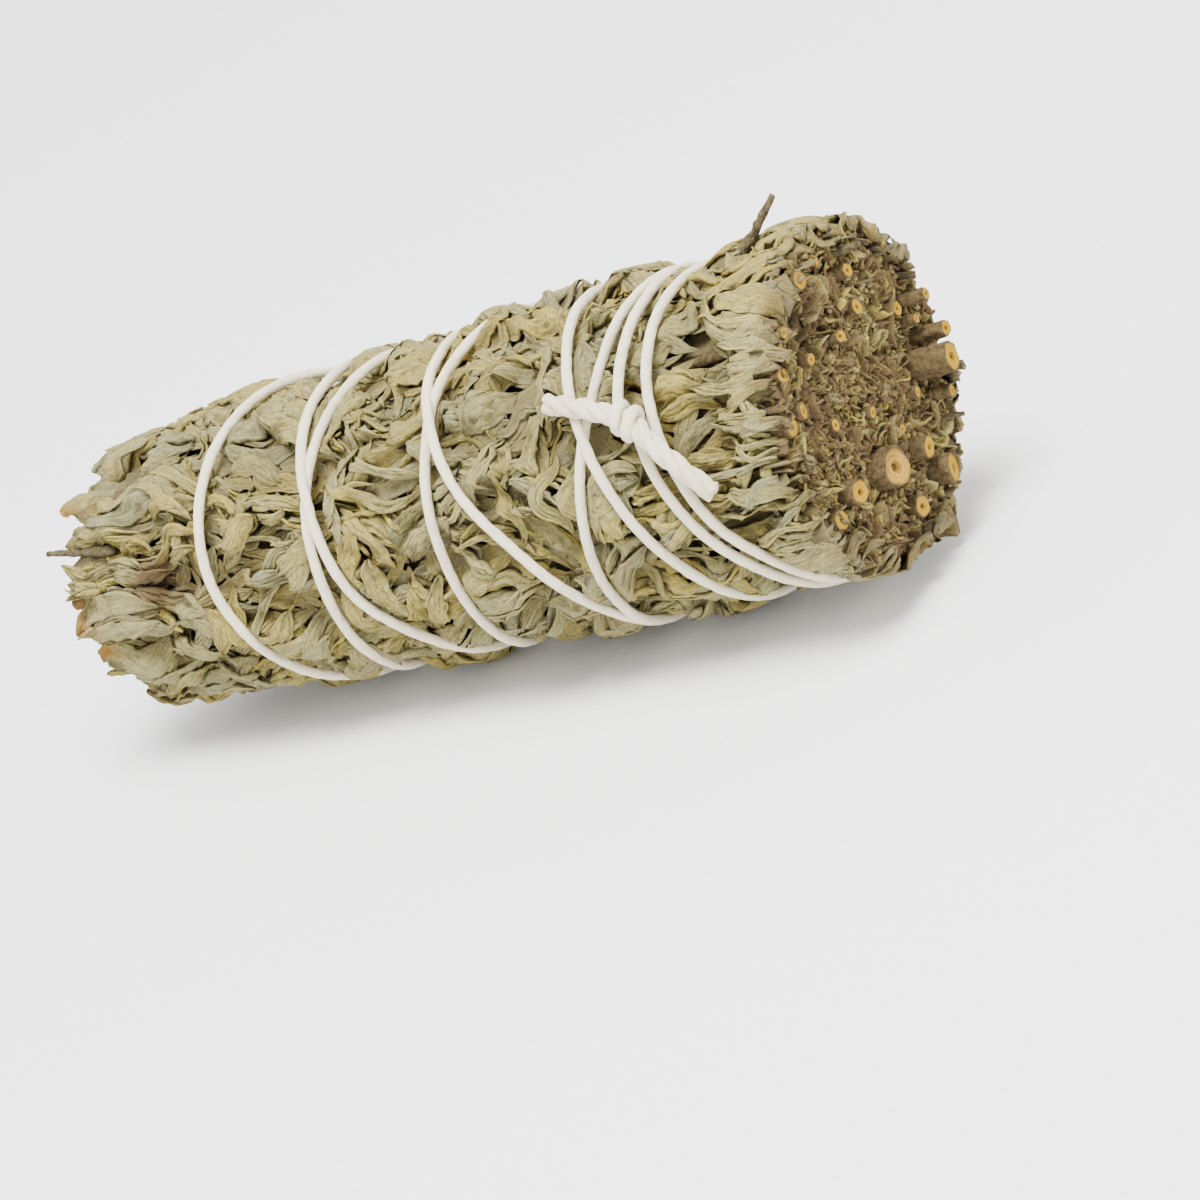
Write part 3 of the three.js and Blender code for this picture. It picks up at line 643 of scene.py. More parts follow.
def leaf_relief(kind, u, v, length, taper):
    """The ridges, buckles and crumple of a leaf, and how deep in a furrow each place lies, which sets its
    painted shade.
    """
    shape = (len(u), kind["sides"])
    wander = RIDGE_WANDER * smooth_noise(shape, (5, 2))
    ridges = rng.uniform(*kind["ridges"])
    drift = rng.uniform(-1.2, 1.2)
    wave = np.abs(np.sin(math.pi * (ridges * v + drift * u + wander + rng.uniform(0, 2)))) ** 0.8
    turns = rng.uniform(1.5, 4.5) * u + BUCKLE_SLANT * v + wander + rng.uniform()
    buckle = 0.5 + 0.5 * np.sin(2 * math.pi * turns)
    inner = np.clip(1.15 - np.abs(v) ** 3, 0.1, 1)
    height = (kind["ridge"] * wave * inner + kind["buckle"] * buckle**1.5) * np.clip(taper * 1.6, 0, 1)
    crumple = rng.uniform(0.15, 0.35)
    height = height + crumple * smooth_noise(shape, (int(length / CRUMPLE_STEP) + 2, 8), 0, 1)
    return height, np.clip(1 - wave * 1.6, 0, 1) * kind["furrow_shade_share"] * inner


def leaf_shape(kind_name, length, width, sawn=False):
    """A leaf's own shape: place along its path, across it, height over what it lies on, and values."""
    kind = LEAF_KINDS[kind_name]
    rows = max(12, int(length / ROW_STEP))
    u = np.linspace(0, 1, rows)[:, None]
    v = np.linspace(-1, 1, kind["sides"])[None, :]
    taper = leaf_outline(u, kind_name, sawn)
    uneven = line_noise(rows, int(length / 1.5) + 2)[:, None]
    half = width / 2 * taper * (1 + WIDTH_WANDER * uneven)
    side = np.abs(v)
    past = np.clip((side - FACE_SHARE) / (1 - FACE_SHARE), 0, 1) * EDGE_CURL * DEG
    curl = np.minimum(rng.uniform(*kind["curl"]) * 0.9, half * 0.8 + 0.05)
    face = np.minimum(side / FACE_SHARE, 1) * (half - curl)
    across = np.sign(v) * (face + curl * np.sin(past))
    drop = curl * (1 - np.cos(past))
    height, furrow_shade = leaf_relief(kind, u, v, length, taper)
    lean = rng.normal(0, TWIST) + TWIST_WANDER * line_noise(rows, 3)[:, None]
    height = height + lean * across * (width < TWISTED_BELOW) - drop
    return u, v, across, height, float(np.max(curl)), furrow_shade


BEND_WAVES = (0.7, 1.6)


def leaf_path(length, rows, heading, turn):
    """The bent middle line of a leaf: places along the roll and round it, and the facing at each."""
    u = np.linspace(0, 1, rows)
    facing = heading + rng.normal(0, turn) * (u - 0.5)
    swing = rng.normal(0, turn * 0.5)
    facing = facing + swing * np.sin(2 * math.pi * (u * rng.uniform(*BEND_WAVES) + rng.uniform()))
    facing = facing * DEG
    step = length / (rows - 1)
    ahead = np.cumsum(-np.cos(facing)) * step
    aside = np.cumsum(np.sin(facing)) * step
    middle = rows // 2
    return ahead - ahead[middle], aside - aside[middle], facing


SAWN_TURN = 0.8
DRAPE_DIP = 0.3
HALF_STEPS = ((0, 0), (0, 0.5), (0.5, 0), (0.5, 0.5))
RIM_BROWNING = (46.5, 3.5)
RIM_BROWN = 0.5
AMBER_END = (0.66, 0.2)
TONE_WANDER = 0.08


def browning_at(x, angle):
    """Browning toward the sawn rim and in a few patches."""
    browning = ramp(x, *RIM_BROWNING) * RIM_BROWN
    for patch_x, patch_angle, reach, strength in BROWN_PATCHES:
        aside = (angle - patch_angle + 180) % 360 * DEG * MEAN_RADIUS - 180 * DEG * MEAN_RADIUS
        browning = browning + strength * np.exp(-((np.hypot(x - patch_x, aside) / reach) ** 2))
    return browning


def lay_leaf(kind_name, x0, angle0, heading, length, width, tone, brown, sawn=False, amber=0.0):
    """Lays one leaf on the pile and returns what is needed to build it."""
    turn = LEAF_KINDS[kind_name]["turn"] * (SAWN_TURN if sawn else 1)
    u, v, across, height, curl, furrow_shade = leaf_shape(kind_name, length, width, sawn)
    ahead, aside, facing = leaf_path(length, len(u), heading, turn)
    x = x0 + ahead[:, None] + across * np.sin(facing)[:, None]
    angle = angle0 + (aside[:, None] + across * np.cos(facing)[:, None]) / radius_at(x) / DEG
    under = pile[pile_index(x, angle)]
    base = np.maximum(blur(under, rounds=5), under - DRAPE_DIP)
    top = base + curl + height
    for du, dv in HALF_STEPS:
        between_x = x[:-1, :-1] * (1 - du) + x[1:, 1:] * du
        between_angle = angle[:-1, :-1] * (1 - dv) + angle[1:, 1:] * dv
        np.maximum.at(pile, pile_index(between_x, between_angle), top[:-1, :-1])
    values = {
        "tone": tone + TONE_WANDER * smooth_noise(x.shape, (3, 2)),
        "brown": brown + browning_at(x, angle),
        "along": u * length,
        "across": v * width / 2,
        "leaf": rng.uniform(),
        "furrow_shade": furrow_shade,
        "amber": amber * ramp(u, *AMBER_END),
    }
    return x, angle, top, values


def random_kind():
    """A leaf kind, drawn by the kinds' shares."""
    kinds = list(LEAF_KINDS)
    return kinds[rng.choice(len(kinds), p=[LEAF_KINDS[kind]["share"] for kind in kinds])]


def random_tone(kind_name):
    """0 is pale sage green-grey, 1 is straw yellow."""
    if kind_name == "stalk":
        return rng.uniform(0.7, 1.1)
    return float(np.clip(rng.beta(1.8, 2.2) - (0.2 if kind_name == "broad" else 0.0), 0, 1))


SPRAY_COUNT = 1750
SPRAY_SPACING = 1.25
SAWN_ZONE = 38.0
TIP_ZONE = -36.0
SAWN_WIDTH = 0.8
SAWN_END = 49.4
SAWN_SPREAD = 22
TIP_SPREAD = 13
TIP_BROWN = 0.1


def lay_spray(number):
    """A few leaves that lie side by side, as they hang together on one twig."""
    x0 = rng.uniform(-49, 50)
    angle0 = number * GOLDEN_TURN + rng.uniform(-12, 12)
    sawn = x0 > SAWN_ZONE
    kind_name = random_kind()
    if sawn and kind_name == "broad":
        kind_name = "crumpled"
    kind = LEAF_KINDS[kind_name]
    tipward = x0 < TIP_ZONE and kind_name != "broad"
    aslant = SAWN_SPREAD if sawn else kind["spread"]
    heading = rng.normal(0, TIP_SPREAD if tipward else aslant)
    tone = random_tone(kind_name)
    brown = max(0.0, rng.normal(TIP_BROWN if tipward else 0.0, 0.1))
    members = 1 if kind_name in ("broad", "stalk") else rng.integers(1, 5)
    for member in range(members):
        length = rng.uniform(*kind["length"])
        width = rng.uniform(*kind["width"]) * (SAWN_WIDTH if sawn else 1)
        offset = (member - (members - 1) / 2) * SPRAY_SPACING * rng.uniform(0.8, 1.3)
        x = x0 + offset * math.sin(heading * DEG) + rng.normal(0, 1.5)
        if sawn:
            x = SAWN_END - length / 2 + rng.normal(0, 1.0)
        angle = angle0 + offset * math.cos(heading * DEG) / MEAN_RADIUS / DEG
        turned = heading + rng.normal(0, 9)
        shade = tone + rng.normal(0, 0.12)
        yield lay_leaf(kind_name, x, angle, turned, length, width, shade, brown, sawn)


laid = [leaf for number in range(SPRAY_COUNT) for leaf in lay_spray(number)]
for shoot_angle, tip_x, length, width in TIP_SHOOTS:
    middle_x = tip_x + length / 2
    shoot = lay_leaf("rolled", middle_x, shoot_angle, rng.normal(0, 4), length, width, 0.35, 0.0, amber=0.9)
    laid.append(shoot)
pile_level = spread(pile, cells=9)

# A leaf that ends up wholly under the others is left out.
HIDDEN_DEPTH = 0.25
shown = [leaf for leaf in laid if (leaf[2] - pile[pile_index(leaf[0], leaf[1])]).max() > -HIDDEN_DEPTH]


def leaf_level(x, angle):
    """The pile's own level over the roll's surface."""
    level = LEAF_LEVEL + 0 * x
    for swell_x, swell_angle, reach, reach_round, height in SWELLS:
        turned = (angle - swell_angle + 180) % 360 - 180
        level = level + height * np.exp(-(((x - swell_x) / reach) ** 2) - (turned / reach_round) ** 2)
    return level


PRESSED_FLOOR = LEAF_LEVEL - LEAF_SINK - 0.4
STRING_GAP = 0.05
PRESS_SLOPE = 0.85
PRESS_WIDTH = 0.8
CREST_SHARE = 0.8


def settle(top, x, angle):
    """Heights over the roll's surface: the pile is levelled, and pressed down under each turn of string."""
    over = top - pile_level[pile_index(x, angle)]
    limit = np.where(over > 0, LEAF_RAISE, LEAF_SINK)
    level = leaf_level(x, angle)
    height = level + limit * np.tanh(over / limit)
    beside = np.maximum(string_distance(x, angle) - STRING_RADIUS * PRESS_WIDTH, 0)
    room = STRING_SEAT - STRING_RADIUS - STRING_GAP + PRESS_SLOPE * beside
    crest = level + LEAF_RAISE * CREST_SHARE
    pressed = np.clip((room - PRESSED_FLOOR) / (crest - PRESSED_FLOOR), 0, 1)
    return PRESSED_FLOOR + (height - PRESSED_FLOOR) * pressed


ZONES = [
    (-70, -41, "sage_leaves_tips"), (-41, -31, "sage_leaves_tip_side"), (-31, -20, "sage_leaves_far_left"),
    (-20, -9, "sage_leaves_left"), (-9, 2, "sage_leaves_middle"), (2, 12, "sage_leaves_right"),
    (12, 22, "sage_leaves_knot_side"), (22, 31, "sage_leaves_knot"), (31, 41, "sage_leaves_string_side"),
    (41, 70, "sage_leaves_sawn_side"),
]
leaf_finish = leaf_material("sage_leaf_finish")
BURIED_SHADE = (0.5, 1.8, 0.6)
LOW_SHADE = (0.7, 2.2, 0.8)


def leaf_pile():
    """The draped leaves, with painted shade where they are buried or lie low."""
    for number, (start, stop, name) in enumerate(ZONES):
        heap = Heap(LEAF_VALUES)
        for x, angle, top, values in shown:
            if not start <= x.mean() < stop:
                continue
            height = settle(top, x, angle)
            # Painted shade: the depth value grows with how far a leaf lies under the pile or below its
            # level.
            buried = ramp(pile[pile_index(x, angle)] - top, *BURIED_SHADE)
            values["depth"] = np.maximum(buried, ramp(LEAF_LEVEL - height, *LOW_SHADE))
            points = on_roll(x, angle, radius_at(x) + height)
            points[..., 2] = np.maximum(points[..., 2], FLOOR_LEVEL * MM)
            heap.add_rings(points, values)
        heap.build(name, leaf_finish, () if number else ("sage_leaves",))


CORE_SINK = 0.2
CORE_ROUGHNESS = 0.5


def packed_middle():
    """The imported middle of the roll, which closes the gaps between the leaves."""
    heap = Heap(LEAF_VALUES)
    stations = np.linspace(-49, CUT_BACK - 0.2, 200)
    x, angle = np.meshgrid(stations, np.arange(0, 360, 1.5), indexing="ij")
    taper = ramp(x, -49.4, 8) ** 0.5
    rough = CORE_ROUGHNESS * seam_noise(x.shape, (60, 70))
    radius = (radius_at(x) - CORE_DEPTH - CORE_SINK + rough) * taper
    # Painted shade: the middle is darkened nearly to the crevice colour where it shows in the gaps, and it
    # is partly browned.
    heap.add_rings(on_roll(x, angle, radius), dict(tone=0.3, depth=0.8, brown=0.4, along=x, leaf=0.5))
    heap.build("packed_leaf_middle", leaf_finish)


CORD_PLIES = 3
CORD_GUIDE = (0.3, 0.5, 0.8)
CORD_SOFTNESS = 0.06
SOFT_STEP = 1.2


def cord_rings(spine, radius, lay_length, sides, relief):
    """Rings round a spine, lobed as twisted plies."""
    tangent, length = along_spine(spine)
    normal = np.zeros_like(spine)
    normal[0] = unit(np.cross(tangent[0], CORD_GUIDE))
    for i in range(1, len(spine)):
        normal[i] = unit(normal[i - 1] - tangent[i] * (normal[i - 1] @ tangent[i]))
    around = circle(sides)
    strand = around[None, :] - (length / lay_length * 2 * math.pi)[:, None]
    lobes = np.abs(np.cos(CORD_PLIES / 2 * strand))
    soft_cells = (max(4, int(length[-1] / MM / SOFT_STEP)), 4)
    soft = 1 + CORD_SOFTNESS * smooth_noise((len(spine), sides), soft_cells)
    r = radius * (1 - relief + relief * lobes**0.7) * soft
    rings = ring_points(spine[:, None], r, around, normal[:, None], np.cross(tangent, normal)[:, None])
    # The lobe value is low in the grooves between plies, where the string's finish paints shade.
    values = {"lobe": 1 - (1 - lobes) * min(1, relief * 6), "along": length[:, None] / MM}
    return rings, {**values, "strand_near": np.cos(strand), "strand_far": np.sin(strand)}


def crossing_lift(wound):
    """How much higher the way back runs where it crosses the way out."""
    nearness = np.cos(2 * (wound - CROSSING_ANGLE) * DEG)
    return np.where(wound < BACK_STARTS_OVER, 0, CROSSING_LIFT * np.maximum(nearness, 0) ** 2)


STRING_VALUES = ("lobe", "along", "strand_near", "strand_far")
string_finish = string_material()
STRING_SAMPLES = 3300
STRING_LAY = 6.5
STRING_WANDER = 0.15
STRING_UNEVENNESS = 0.12


def wrap_string():
    """The turns of string, down the roll and back."""
    wound = np.linspace(ROUTE[0, 0] + KNOT_TUCK, ROUTE[-1, 0] + KNOT_TUCK, STRING_SAMPLES)
    x = hermite(ROUTE, wound) + STRING_WANDER * line_noise(STRING_SAMPLES, 110)
    uneven = STRING_UNEVENNESS * line_noise(STRING_SAMPLES, 160)
    spine = on_roll(x, wound, radius_at(x) + STRING_SEAT + crossing_lift(wound) + uneven)
    heap = Heap(STRING_VALUES)
    heap.add_rings(*cord_rings(spine, STRING_RADIUS * MM, STRING_LAY * MM, sides=18, relief=0.07))
    heap.build("tie_string_turns", string_finish, ("tie_string",))


def route_spine(route, samples):
    """A spine from rows of degrees, place along the roll and height over the string's level."""
    route = np.asarray(route, dtype=float)
    stops = np.arange(len(route))
    at = np.linspace(0, len(route) - 1, samples)
    angle, x, height = (hermite(np.stack([stops, route[:, k]], axis=1), at) for k in range(3))
    return on_roll(x, angle, radius_at(x) + STRING_SEAT + height)


def plied(spine, offset, lay_length):
    """Spines of plies that twist round one spine."""
    tangent, length = along_spine(spine)
    normal, binormal = side_axes(tangent)
    for ply in range(CORD_PLIES):
        turn = length / lay_length * 2 * math.pi + ply * 2 * math.pi / CORD_PLIES
        yield spine + offset * (np.cos(turn)[:, None] * normal + np.sin(turn)[:, None] * binormal)


KNOT_STOPS = (66, 78)
KNOT_RADIUS = 1.35
KNOT_SLANT = 0.45
TAIL_OFFSET = 0.56
TAIL_PLY_RADIUS = 0.68
KNOT_PLY_RADIUS = 0.7
TAIL_LAY = 8.5
PLY_LAY = 3.5
WRAP_LAY = 4
PLY_SHAPE = dict(sides=14, relief=0.1)


def knot_and_tail():
    """The free end, of three twisted plies, and the knot: two wraps round it."""
    heap = Heap(STRING_VALUES)
    spine = route_spine(TAIL_ROUTE, samples=150)
    for ply in plied(spine, TAIL_OFFSET * MM, TAIL_LAY * MM):
        heap.add_rings(*cord_rings(ply, TAIL_PLY_RADIUS * MM, PLY_LAY * MM, **PLY_SHAPE))
    for stop in KNOT_STOPS:
        along = unit(spine[stop + 1] - spine[stop - 1])
        aside, upright = side_axes(along)
        turn = np.linspace(0, 2 * math.pi, 60)[:, None]
        wrap = np.cos(turn) * aside + np.sin(turn) * upright + KNOT_SLANT * np.cos(turn) * along
        wrap = spine[stop] + KNOT_RADIUS * MM * wrap
        heap.add_rings(*cord_rings(wrap, KNOT_PLY_RADIUS * MM, WRAP_LAY * MM, **PLY_SHAPE))
    heap.build("tie_string_knot_and_tail", string_finish)


STEM_PLACES = np.array([(near, down, diameter) for near, down, diameter, _ in CUT_STEMS])
RIBBON_SECTION = ((-1, -1.4), (-1, 0.0), (-0.8, 0.8), (0, 1.0), (0.8, 0.8), (1, 0.0), (1, -1.4))


def stem_gap(near, down):
    """Distance from a place on the sawn face to the bark of the nearest stem."""
    distance = np.hypot(STEM_PLACES[:, 0] - near, STEM_PLACES[:, 1] - down) - STEM_PLACES[:, 2] / 2
    return distance.min()


def hollow_at(near, down):
    """How deep the sawn face is hollowed at a place."""
    distance = np.hypot(near - CUT_HOLLOW["near"], down - CUT_HOLLOW["down"]) / CUT_HOLLOW["radius"]
    return CUT_HOLLOW["depth"] * np.exp(-(distance**2))


RIBBON_STEP = 0.4
RIBBON_END = 0.15
RIBBON_HEIGHT = 0.7
RIBBON_NOTCH = 0.4


def crushed_ribbon(near, down, heading, length, stand, thickness, bend):
    """A leaf end seen on edge: a thin wall along a curled line, which stands out of the face."""
    rows = max(7, int(length / RIBBON_STEP))
    t = np.linspace(0, 1, rows)
    facing = heading + bend * (t - 0.5) + line_noise(rows, 5)
    step = length / (rows - 1)
    line_near = near + np.cumsum(np.cos(facing)) * step
    line_down = down + np.cumsum(np.sin(facing)) * step
    ends = np.clip(np.minimum(t, 1 - t) / RIBBON_END, 0.1, 1) ** 0.5
    edge = stand * (RIBBON_HEIGHT + RIBBON_NOTCH * line_noise(rows, 4)) * ends
    lean = rng.normal(0, 0.3) * stand
    base = CUT_FACE - hollow_at(line_near, line_down)
    section = []
    for side, up in RIBBON_SECTION:
        off = side * thickness / 2 * ends + lean * max(up, 0)
        x = base + (edge * up if up > 0 else up)
        section.append(face_point(line_near - off * np.sin(facing), line_down + off * np.cos(facing), x))
    return np.stack(section, axis=1)


CRUMB_LUMPS = 0.35
CRUMB_THICKNESS = 0.8
CRUMB_SIDES = 6
CRUMB_RINGS = 5


def crumb(near, down):
    """A small lump of crushed leaf."""
    size = rng.uniform(0.18, 0.5)
    t = np.linspace(-0.9, 0.9, CRUMB_RINGS)[:, None]
    around = circle(CRUMB_SIDES)[None, :]
    swell = np.sqrt(1 - t**2) * (1 + CRUMB_LUMPS * rng.normal(size=(CRUMB_RINGS, CRUMB_SIDES)))
    stretch = size * rng.uniform(0.7, 1.8)
    heading = rng.uniform(0, math.pi)
    along, aside = t * stretch + 0 * around, size * swell * np.cos(around)
    lift = rng.uniform(-0.3, 0.5) - hollow_at(near, down)
    x = CUT_FACE + lift + CRUMB_THICKNESS * size * swell * np.sin(around)
    cos, sin = math.cos(heading), math.sin(heading)
    return face_point(near + along * cos - aside * sin, down + along * sin + aside * cos, x)


CURL_COUNT = 130
LEAF_END_COUNT = 1050
CRUMB_COUNT = 2600
FACE_REACH = 17.2
RIBBON_SHADE = np.array([1.0, 0.8, 0.25, 0.0, 0.25, 0.8, 1.0])[None, :]


def face_places(count):
    """Random places over the sawn face, each with its distance to the nearest stem."""
    for _ in range(count):
        reach, turn = FACE_REACH * math.sqrt(rng.uniform()), rng.uniform(0, 2 * math.pi)
        near, down = reach * math.cos(turn), reach * math.sin(turn)
        yield near, down, stem_gap(near, down)


def end_values(near, down):
    """Finish values that leaf ends and crumbs share at one place of the sawn face."""
    brown = float(np.clip(rng.normal(0.66, 0.34), 0.0, 1.2))
    # Painted shade: leaf ends and crumbs in the hollow are darkened.
    depth = hollow_at(near, down) * 0.25
    return dict(tone=rng.uniform(0.3, 1.1), brown=brown, depth=depth, leaf=rng.uniform())


CURLED_END = dict(length=(3.5, 6.5), stand=(1.0, 2.4))
SHORT_END = dict(length=(1.1, 4.0), stand=(0.4, 1.8))
CURL_GAP = 0.7
END_GAP = 0.12
CRUMB_GAP = 0.1
DEEPEST = 0.95


def face_pad(heap):
    """The rough ground of the sawn face, which leaf ends and crumbs stand on."""
    r, angle = np.meshgrid(np.linspace(0.2, CUT_RADIUS, 70), np.arange(0, 360, 2.0), indexing="ij")
    hollow = hollow_at(r * np.cos(angle * DEG), r * np.sin(angle * DEG))
    rough = 0.55 * seam_noise(r.shape, (30, 80)) + 0.5 * seam_noise(r.shape, (9, 20))
    face = on_roll(CUT_FACE - 0.6 + rough - hollow, angle, r)
    back = on_roll(np.full_like(r[-1:], CUT_BACK), angle[-1:], r[-1:])
    # Painted shade: the low and hollowed places of the sawn face are darkened.
    deep = np.clip(0.5 - rough * 0.5 + hollow * 0.3, 0, DEEPEST)
    depth = np.concatenate([deep, deep[-1:]])[:, ::-1]
    heap.add_rings(np.concatenate([face, back])[:, ::-1], dict(tone=0.5, brown=0.8, leaf=0.5, depth=depth))


def end_bend(curled):
    """How far a leaf end turns along its length, in radians."""
    if curled:
        return rng.choice([-1, 1]) * rng.uniform(2.0, 4.4)
    return rng.normal(0, 3.0)


def sawn_face():
    """Leaf ends, a few of them long and curled, and crumbs between them."""
    heap = Heap(LEAF_VALUES)
    face_pad(heap)
    for number, (near, down, gap) in enumerate(face_places(CURL_COUNT + LEAF_END_COUNT)):
        curled = number < CURL_COUNT
        form = CURLED_END if curled else SHORT_END
        length = rng.uniform(*form["length"])
        if gap < (CURL_GAP if curled else END_GAP + END_GAP * length):
            continue
        stand = rng.uniform(*form["stand"])
        thickness = rng.uniform(0.2, 0.38)
        bend = end_bend(curled)
        ribbon = crushed_ribbon(near, down, rng.uniform(0, 2 * math.pi), length, stand, thickness, bend)
        values = end_values(near, down)
        values["depth"] = np.clip(RIBBON_SHADE * rng.uniform(0.75, 1.0) + values["depth"], 0, DEEPEST)
        values["along"] = np.linspace(0, length, len(ribbon))[:, None]
        heap.add_rings(ribbon, values)
    browned_finish = leaf_material("browned_leaf_finish", brown_bias=0.15)
    heap.build("crushed_leaf_ends", browned_finish, ("cut_leaf_ends",))
    crumbs = Heap(LEAF_VALUES)
    for near, down, gap in face_places(CRUMB_COUNT):
        if gap > CRUMB_GAP:
            crumbs.add_rings(crumb(near, down), {**end_values(near, down), "along": rng.uniform(0, 9)})
    crumbs.build("crushed_leaf_crumbs", browned_finish)


# Stems: bark round pale wood, with a small pith.
STEM_VALUES = ("radial", "tint", "cut")
STEM_PIECE_SIDES = 28
BARK_ROWS = (
    (-4.5, 1.0), (-3.6, 1.05), (-2.8, 0.98), (-2.0, 1.04), (-1.2, 1.0), (-0.35, 1.03), (-0.08, 0.99),
    (0, 0.93),
)
FACE_ROWS = (0.86, 0.7, 0.5, 0.3, 0.12)
BURIED_SHARE = 0.98
STEM_LOBES = ((2, 0.05), (5, 0.035))
BARK_ROUGHNESS = 0.04
FACE_ROUGHNESS = 0.02
CUT_EDGE = -0.1
PITH_SHARE = 0.2
PITH_DIP = 0.12


def stem_piece(name, buried, free, diameter, material, tint, node):
    """One stem, with rough bark and a dip at the pith."""
    length = np.linalg.norm(free - buried)
    axis = (free - buried) / length
    aside, upright = side_axes(axis)
    around = circle(STEM_PIECE_SIDES)
    lobes = 1.0
    for count, depth in STEM_LOBES:
        lobes = lobes + depth * np.sin(count * around + rng.uniform(0, 6))
    tilt = rng.normal(0, 0.12, 2)
    radius = diameter / 2 * MM
    rings, radial, cut = [], [], []
    for back, share in ((-length / MM, BURIED_SHARE), *BARK_ROWS):
        rough = 1 + BARK_ROUGHNESS * rng.normal(size=STEM_PIECE_SIDES) * (back < 0)
        r = radius * share * lobes * rough
        rings.append(ring_points(free + axis * back * MM, r, around, aside, upright))
        radial.append(1.0)
        cut.append(1.0 if back > CUT_EDGE else 0.0)
    for share in FACE_ROWS:
        r = radius * share * lobes
        rise = r * np.cos(around) * tilt[0] + r * np.sin(around) * tilt[1]
        rise = rise + rng.normal(0, FACE_ROUGHNESS * MM, STEM_PIECE_SIDES)
        rise = rise - (PITH_DIP * diameter * MM if share < PITH_SHARE else 0)
        rings.append(ring_points(free, r, around, aside, upright) + rise[:, None] * axis)
        radial.append(share)
        cut.append(1.0)
    heap = Heap(STEM_VALUES)
    values = {"radial": np.array(radial)[:, None], "tint": tint, "cut": np.array(cut)[:, None]}
    heap.add_rings(np.array(rings), values)
    heap.build(name, material, (node,))


TWIG_SAMPLES = 24
TWIG_SIDES = 10
TWIG_WANDER = 0.2
TWIG_ROUGHNESS = 0.12


def loose_twigs(material):
    """A few bare twigs among the leaves, thinner toward their free ends."""
    heap = Heap(STEM_VALUES)
    around = circle(TWIG_SIDES)
    t = np.linspace(0, 1, TWIG_SAMPLES)
    for start, stop, diameter in LOOSE_TWIGS:
        x, angle, height = (a + (b - a) * share for a, b, share in zip(start, stop, (t, t, t**1.5)))
        spine = on_roll(x + TWIG_WANDER * line_noise(TWIG_SAMPLES, 5), angle, radius_at(x) + height)
        rough = 1 + TWIG_ROUGHNESS * rng.normal(size=(TWIG_SAMPLES, TWIG_SIDES))
        r = diameter / 2 * MM * (1.15 - 0.7 * t)[:, None] * rough
        rings = ring_points(spine[:, None], r, around, *side_axes(unit(spine[-1] - spine[0])))
        heap.add_rings(rings, {"radial": 1.0})
    heap.build("loose_twigs", material)


CUT_FINISH = dict(wood=(0.37, 0.212, 0.006), bark=(0.052, 0.035, 0.015))
TIP_FINISH = dict(wood=(0.38, 0.19, 0.035), bark=(0.20, 0.105, 0.027))
TWIG_FINISH = dict(wood=(0.24, 0.18, 0.09), bark=(0.05, 0.04, 0.02), bark_pale=(0.13, 0.105, 0.055))
THICK_STEM = 4


def stems():
    """The sawn stems, the loose twigs and the stems among the leafy tips."""
    wood_finish = stem_material("cut_wood_finish", **CUT_FINISH)
    tip_finish = stem_material("tip_wood_finish", **TIP_FINISH)
    for number, (near, down, diameter, stand) in enumerate(CUT_STEMS, start=1):
        angle, radius = math.degrees(math.atan2(down, near)), math.hypot(near, down)
        buried = on_roll(HALF_LENGTH - STEM_LENGTH, angle, radius * STEM_CONVERGE)
        free = on_roll(HALF_LENGTH + stand, angle, radius)
        tint = 0.9 if diameter > THICK_STEM else rng.uniform(0, 0.5)
        node = f"cut_stem_{number:02d}"
        stem_piece(f"{node}_wood", buried, free, diameter, wood_finish, tint, node)
    loose_twigs(stem_material("twig_finish", **TWIG_FINISH))
    for number, (angle, radius, stand) in enumerate(TIP_STEMS, start=1):
        buried = on_roll(TIP_FACE + TIP_STEM_LENGTH, angle, radius)
        free = on_roll(TIP_FACE - stand, angle, radius)
        node = f"tip_stem_{number}"
        stem_piece(f"{node}_wood", buried, free, TIP_STEM_DIAMETER, tip_finish, 0.2, node)


TIP_LEAF_COUNT = 190
TIP_KINDS = {"crumpled": 0.5, "rolled": 0.2, "broad": 0.3}
TIP_RING = 13.6
TIP_INNER_RING = 5
TIP_SHADE = (-48.5, 4, 0.7)


def tip_leaves():
    """Leafy tips at the thinner end, in rings from its middle out to its rim."""
    heap = Heap(LEAF_VALUES)
    for number in range(TIP_LEAF_COUNT):
        ring = TIP_RING * math.sqrt((number + 0.5) / TIP_LEAF_COUNT)
        kind_name = rng.choice(list(TIP_KINDS), p=list(TIP_KINDS.values()))
        length = rng.uniform(9, 14)
        width = rng.uniform(*LEAF_KINDS[kind_name]["width"]) * (0.85 if kind_name == "broad" else 1.25)
        u, v, across, height, _, furrow_shade = leaf_shape(kind_name, length, width)
        ahead, aside, _ = leaf_path(length, len(u), rng.normal(0, 10), 22)
        start = rng.uniform(-54.5, -51.5)
        x = ahead[:, None] - ahead.min() + 0 * across + start + (0.8 if ring < TIP_INNER_RING else 0)
        radius = np.maximum(ring + height * 0.9 - (0.05 + rng.normal(0, 0.05)) * (x[:1] - x), 0.3)
        angle = number * GOLDEN_TURN + (aside[:, None] + across) / max(ring, 2.5) / DEG
        values = {
            "tone": random_tone(kind_name) * 0.9,
            "depth": ramp(x, *TIP_SHADE),
            "brown": np.clip(rng.normal(0.15, 0.15) + 0.4 * u**2, 0, 1),
            "along": u * length,
            "across": v * width / 2,
            "leaf": rng.uniform(),
            "furrow_shade": furrow_shade,
        }
        heap.add_rings(on_roll(x, angle, radius), values)
    heap.build("sage_leaf_tips", leaf_finish)


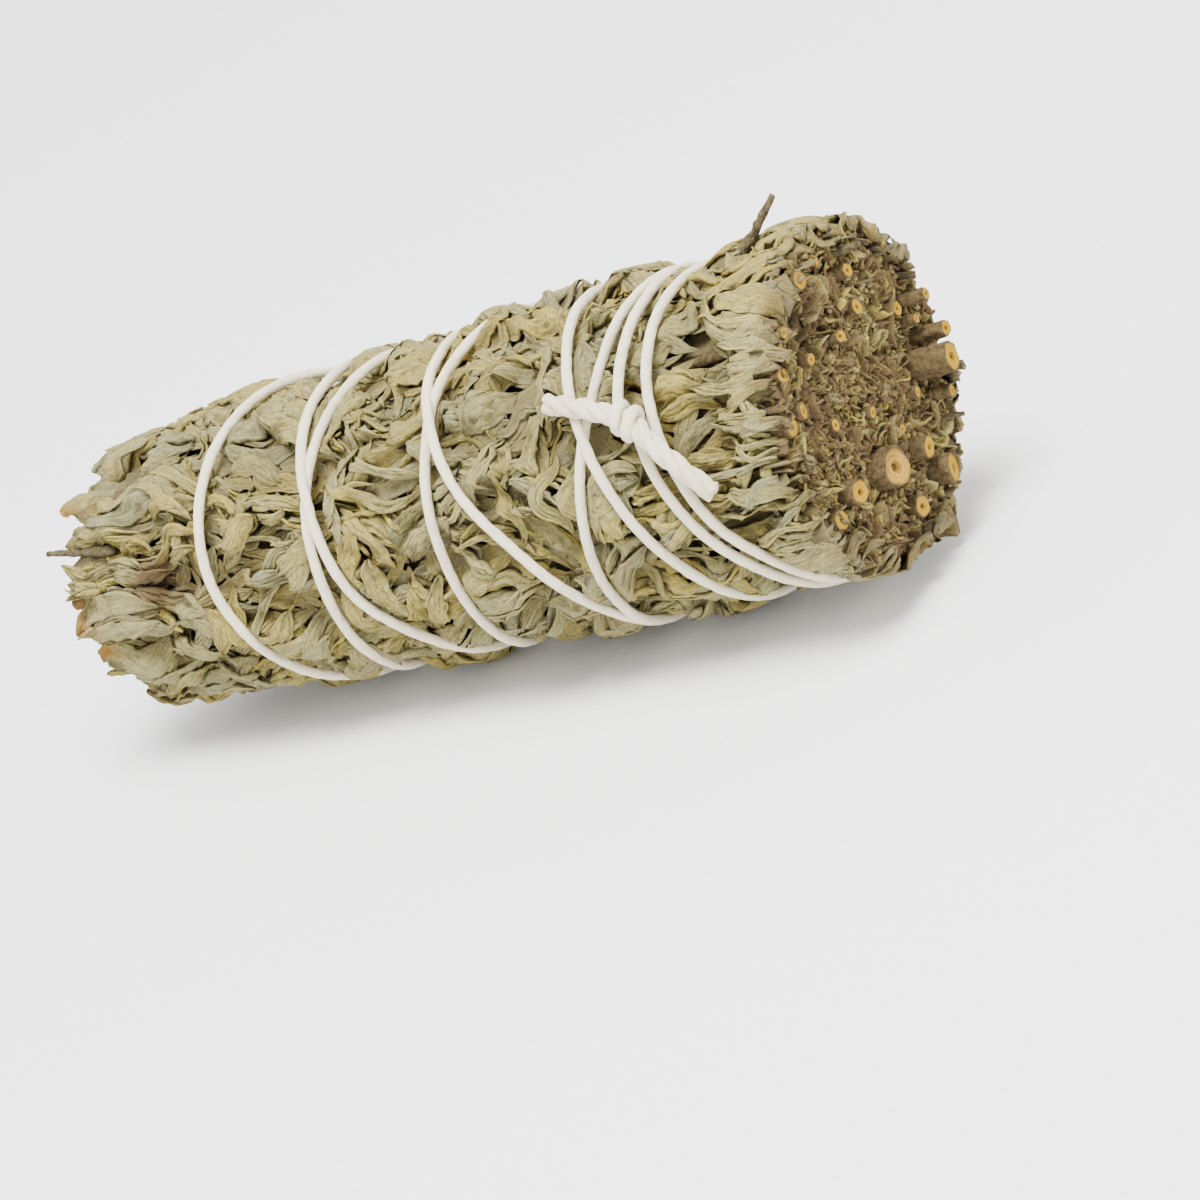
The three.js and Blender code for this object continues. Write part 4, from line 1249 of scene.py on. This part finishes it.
def add_stage():
    """A pale floor, and even light from all round."""
    bpy.ops.mesh.primitive_plane_add(size=8, location=(0, 0, 0))
    floor = bpy.context.object
    floor.name = "floor"
    finish = bpy.data.materials.new("floor_finish")
    finish.use_nodes = True
    shader = finish.node_tree.nodes["Principled BSDF"]
    shader.inputs["Base Color"].default_value = (0.9, 0.9, 0.9, 1)
    shader.inputs["Roughness"].default_value = 0.9
    floor.data.materials.append(finish)
    world = bpy.data.worlds.new("pale_room")
    bpy.context.scene.world = world
    world.use_nodes = True
    background = world.node_tree.nodes["Background"]
    background.inputs["Color"].default_value = (1, 1, 1, 1)
    background.inputs["Strength"].default_value = 1.55


CAMERA_AZIMUTH = 37.65
CAMERA_ELEVATION = 22.55
CAMERA_ROLL = -27.26
CAMERA_DISTANCE = 0.882
CAMERA_LENS = 236.4
AIM_RIGHT = 0.01225
AIM_DOWN = 0.01255


def add_camera():
    """The camera; gives the picture's right and up and the way to the camera, for the lights."""
    a, e = CAMERA_AZIMUTH * DEG, CAMERA_ELEVATION * DEG
    toward = Vector((math.sin(a) * math.cos(e), -math.cos(a) * math.cos(e), math.sin(e)))
    right = Vector((math.cos(a), math.sin(a), 0))
    up = toward.cross(right)
    roll = Matrix.Rotation(CAMERA_ROLL * DEG, 3, toward)
    right, up = roll @ right, roll @ up
    centre = Vector((0, 0, (cad_low[2] + cad_high[2]) / 2)) + right * AIM_RIGHT - up * AIM_DOWN
    data = bpy.data.cameras.new("camera")
    data.lens = CAMERA_LENS
    camera = bpy.data.objects.new("camera", data)
    bpy.context.scene.collection.objects.link(camera)
    axes = Matrix((right, up, toward)).transposed().to_4x4()
    camera.matrix_world = Matrix.Translation(centre + toward * CAMERA_DISTANCE) @ axes
    bpy.context.scene.camera = camera
    return right, up, toward


def add_light(name, direction, distance, size, power):
    """A square light that faces the bunch."""
    data = bpy.data.lights.new(name, "AREA")
    data.energy = power
    data.size = size
    light = bpy.data.objects.new(name, data)
    bpy.context.scene.collection.objects.link(light)
    light.location = direction.normalized() * distance
    light.rotation_euler = light.location.to_track_quat("Z", "Y").to_euler()


leaf_pile()
packed_middle()
wrap_string()
knot_and_tail()
sawn_face()
stems()
tip_leaves()
add_stage()
right, up, toward = add_camera()
add_light("key_light", up + toward * 0.9 - right * 0.5, distance=0.9, size=0.45, power=24)
add_light("fill_light", toward + right * 0.9 + up * 0.2, distance=1.0, size=0.7, power=9)
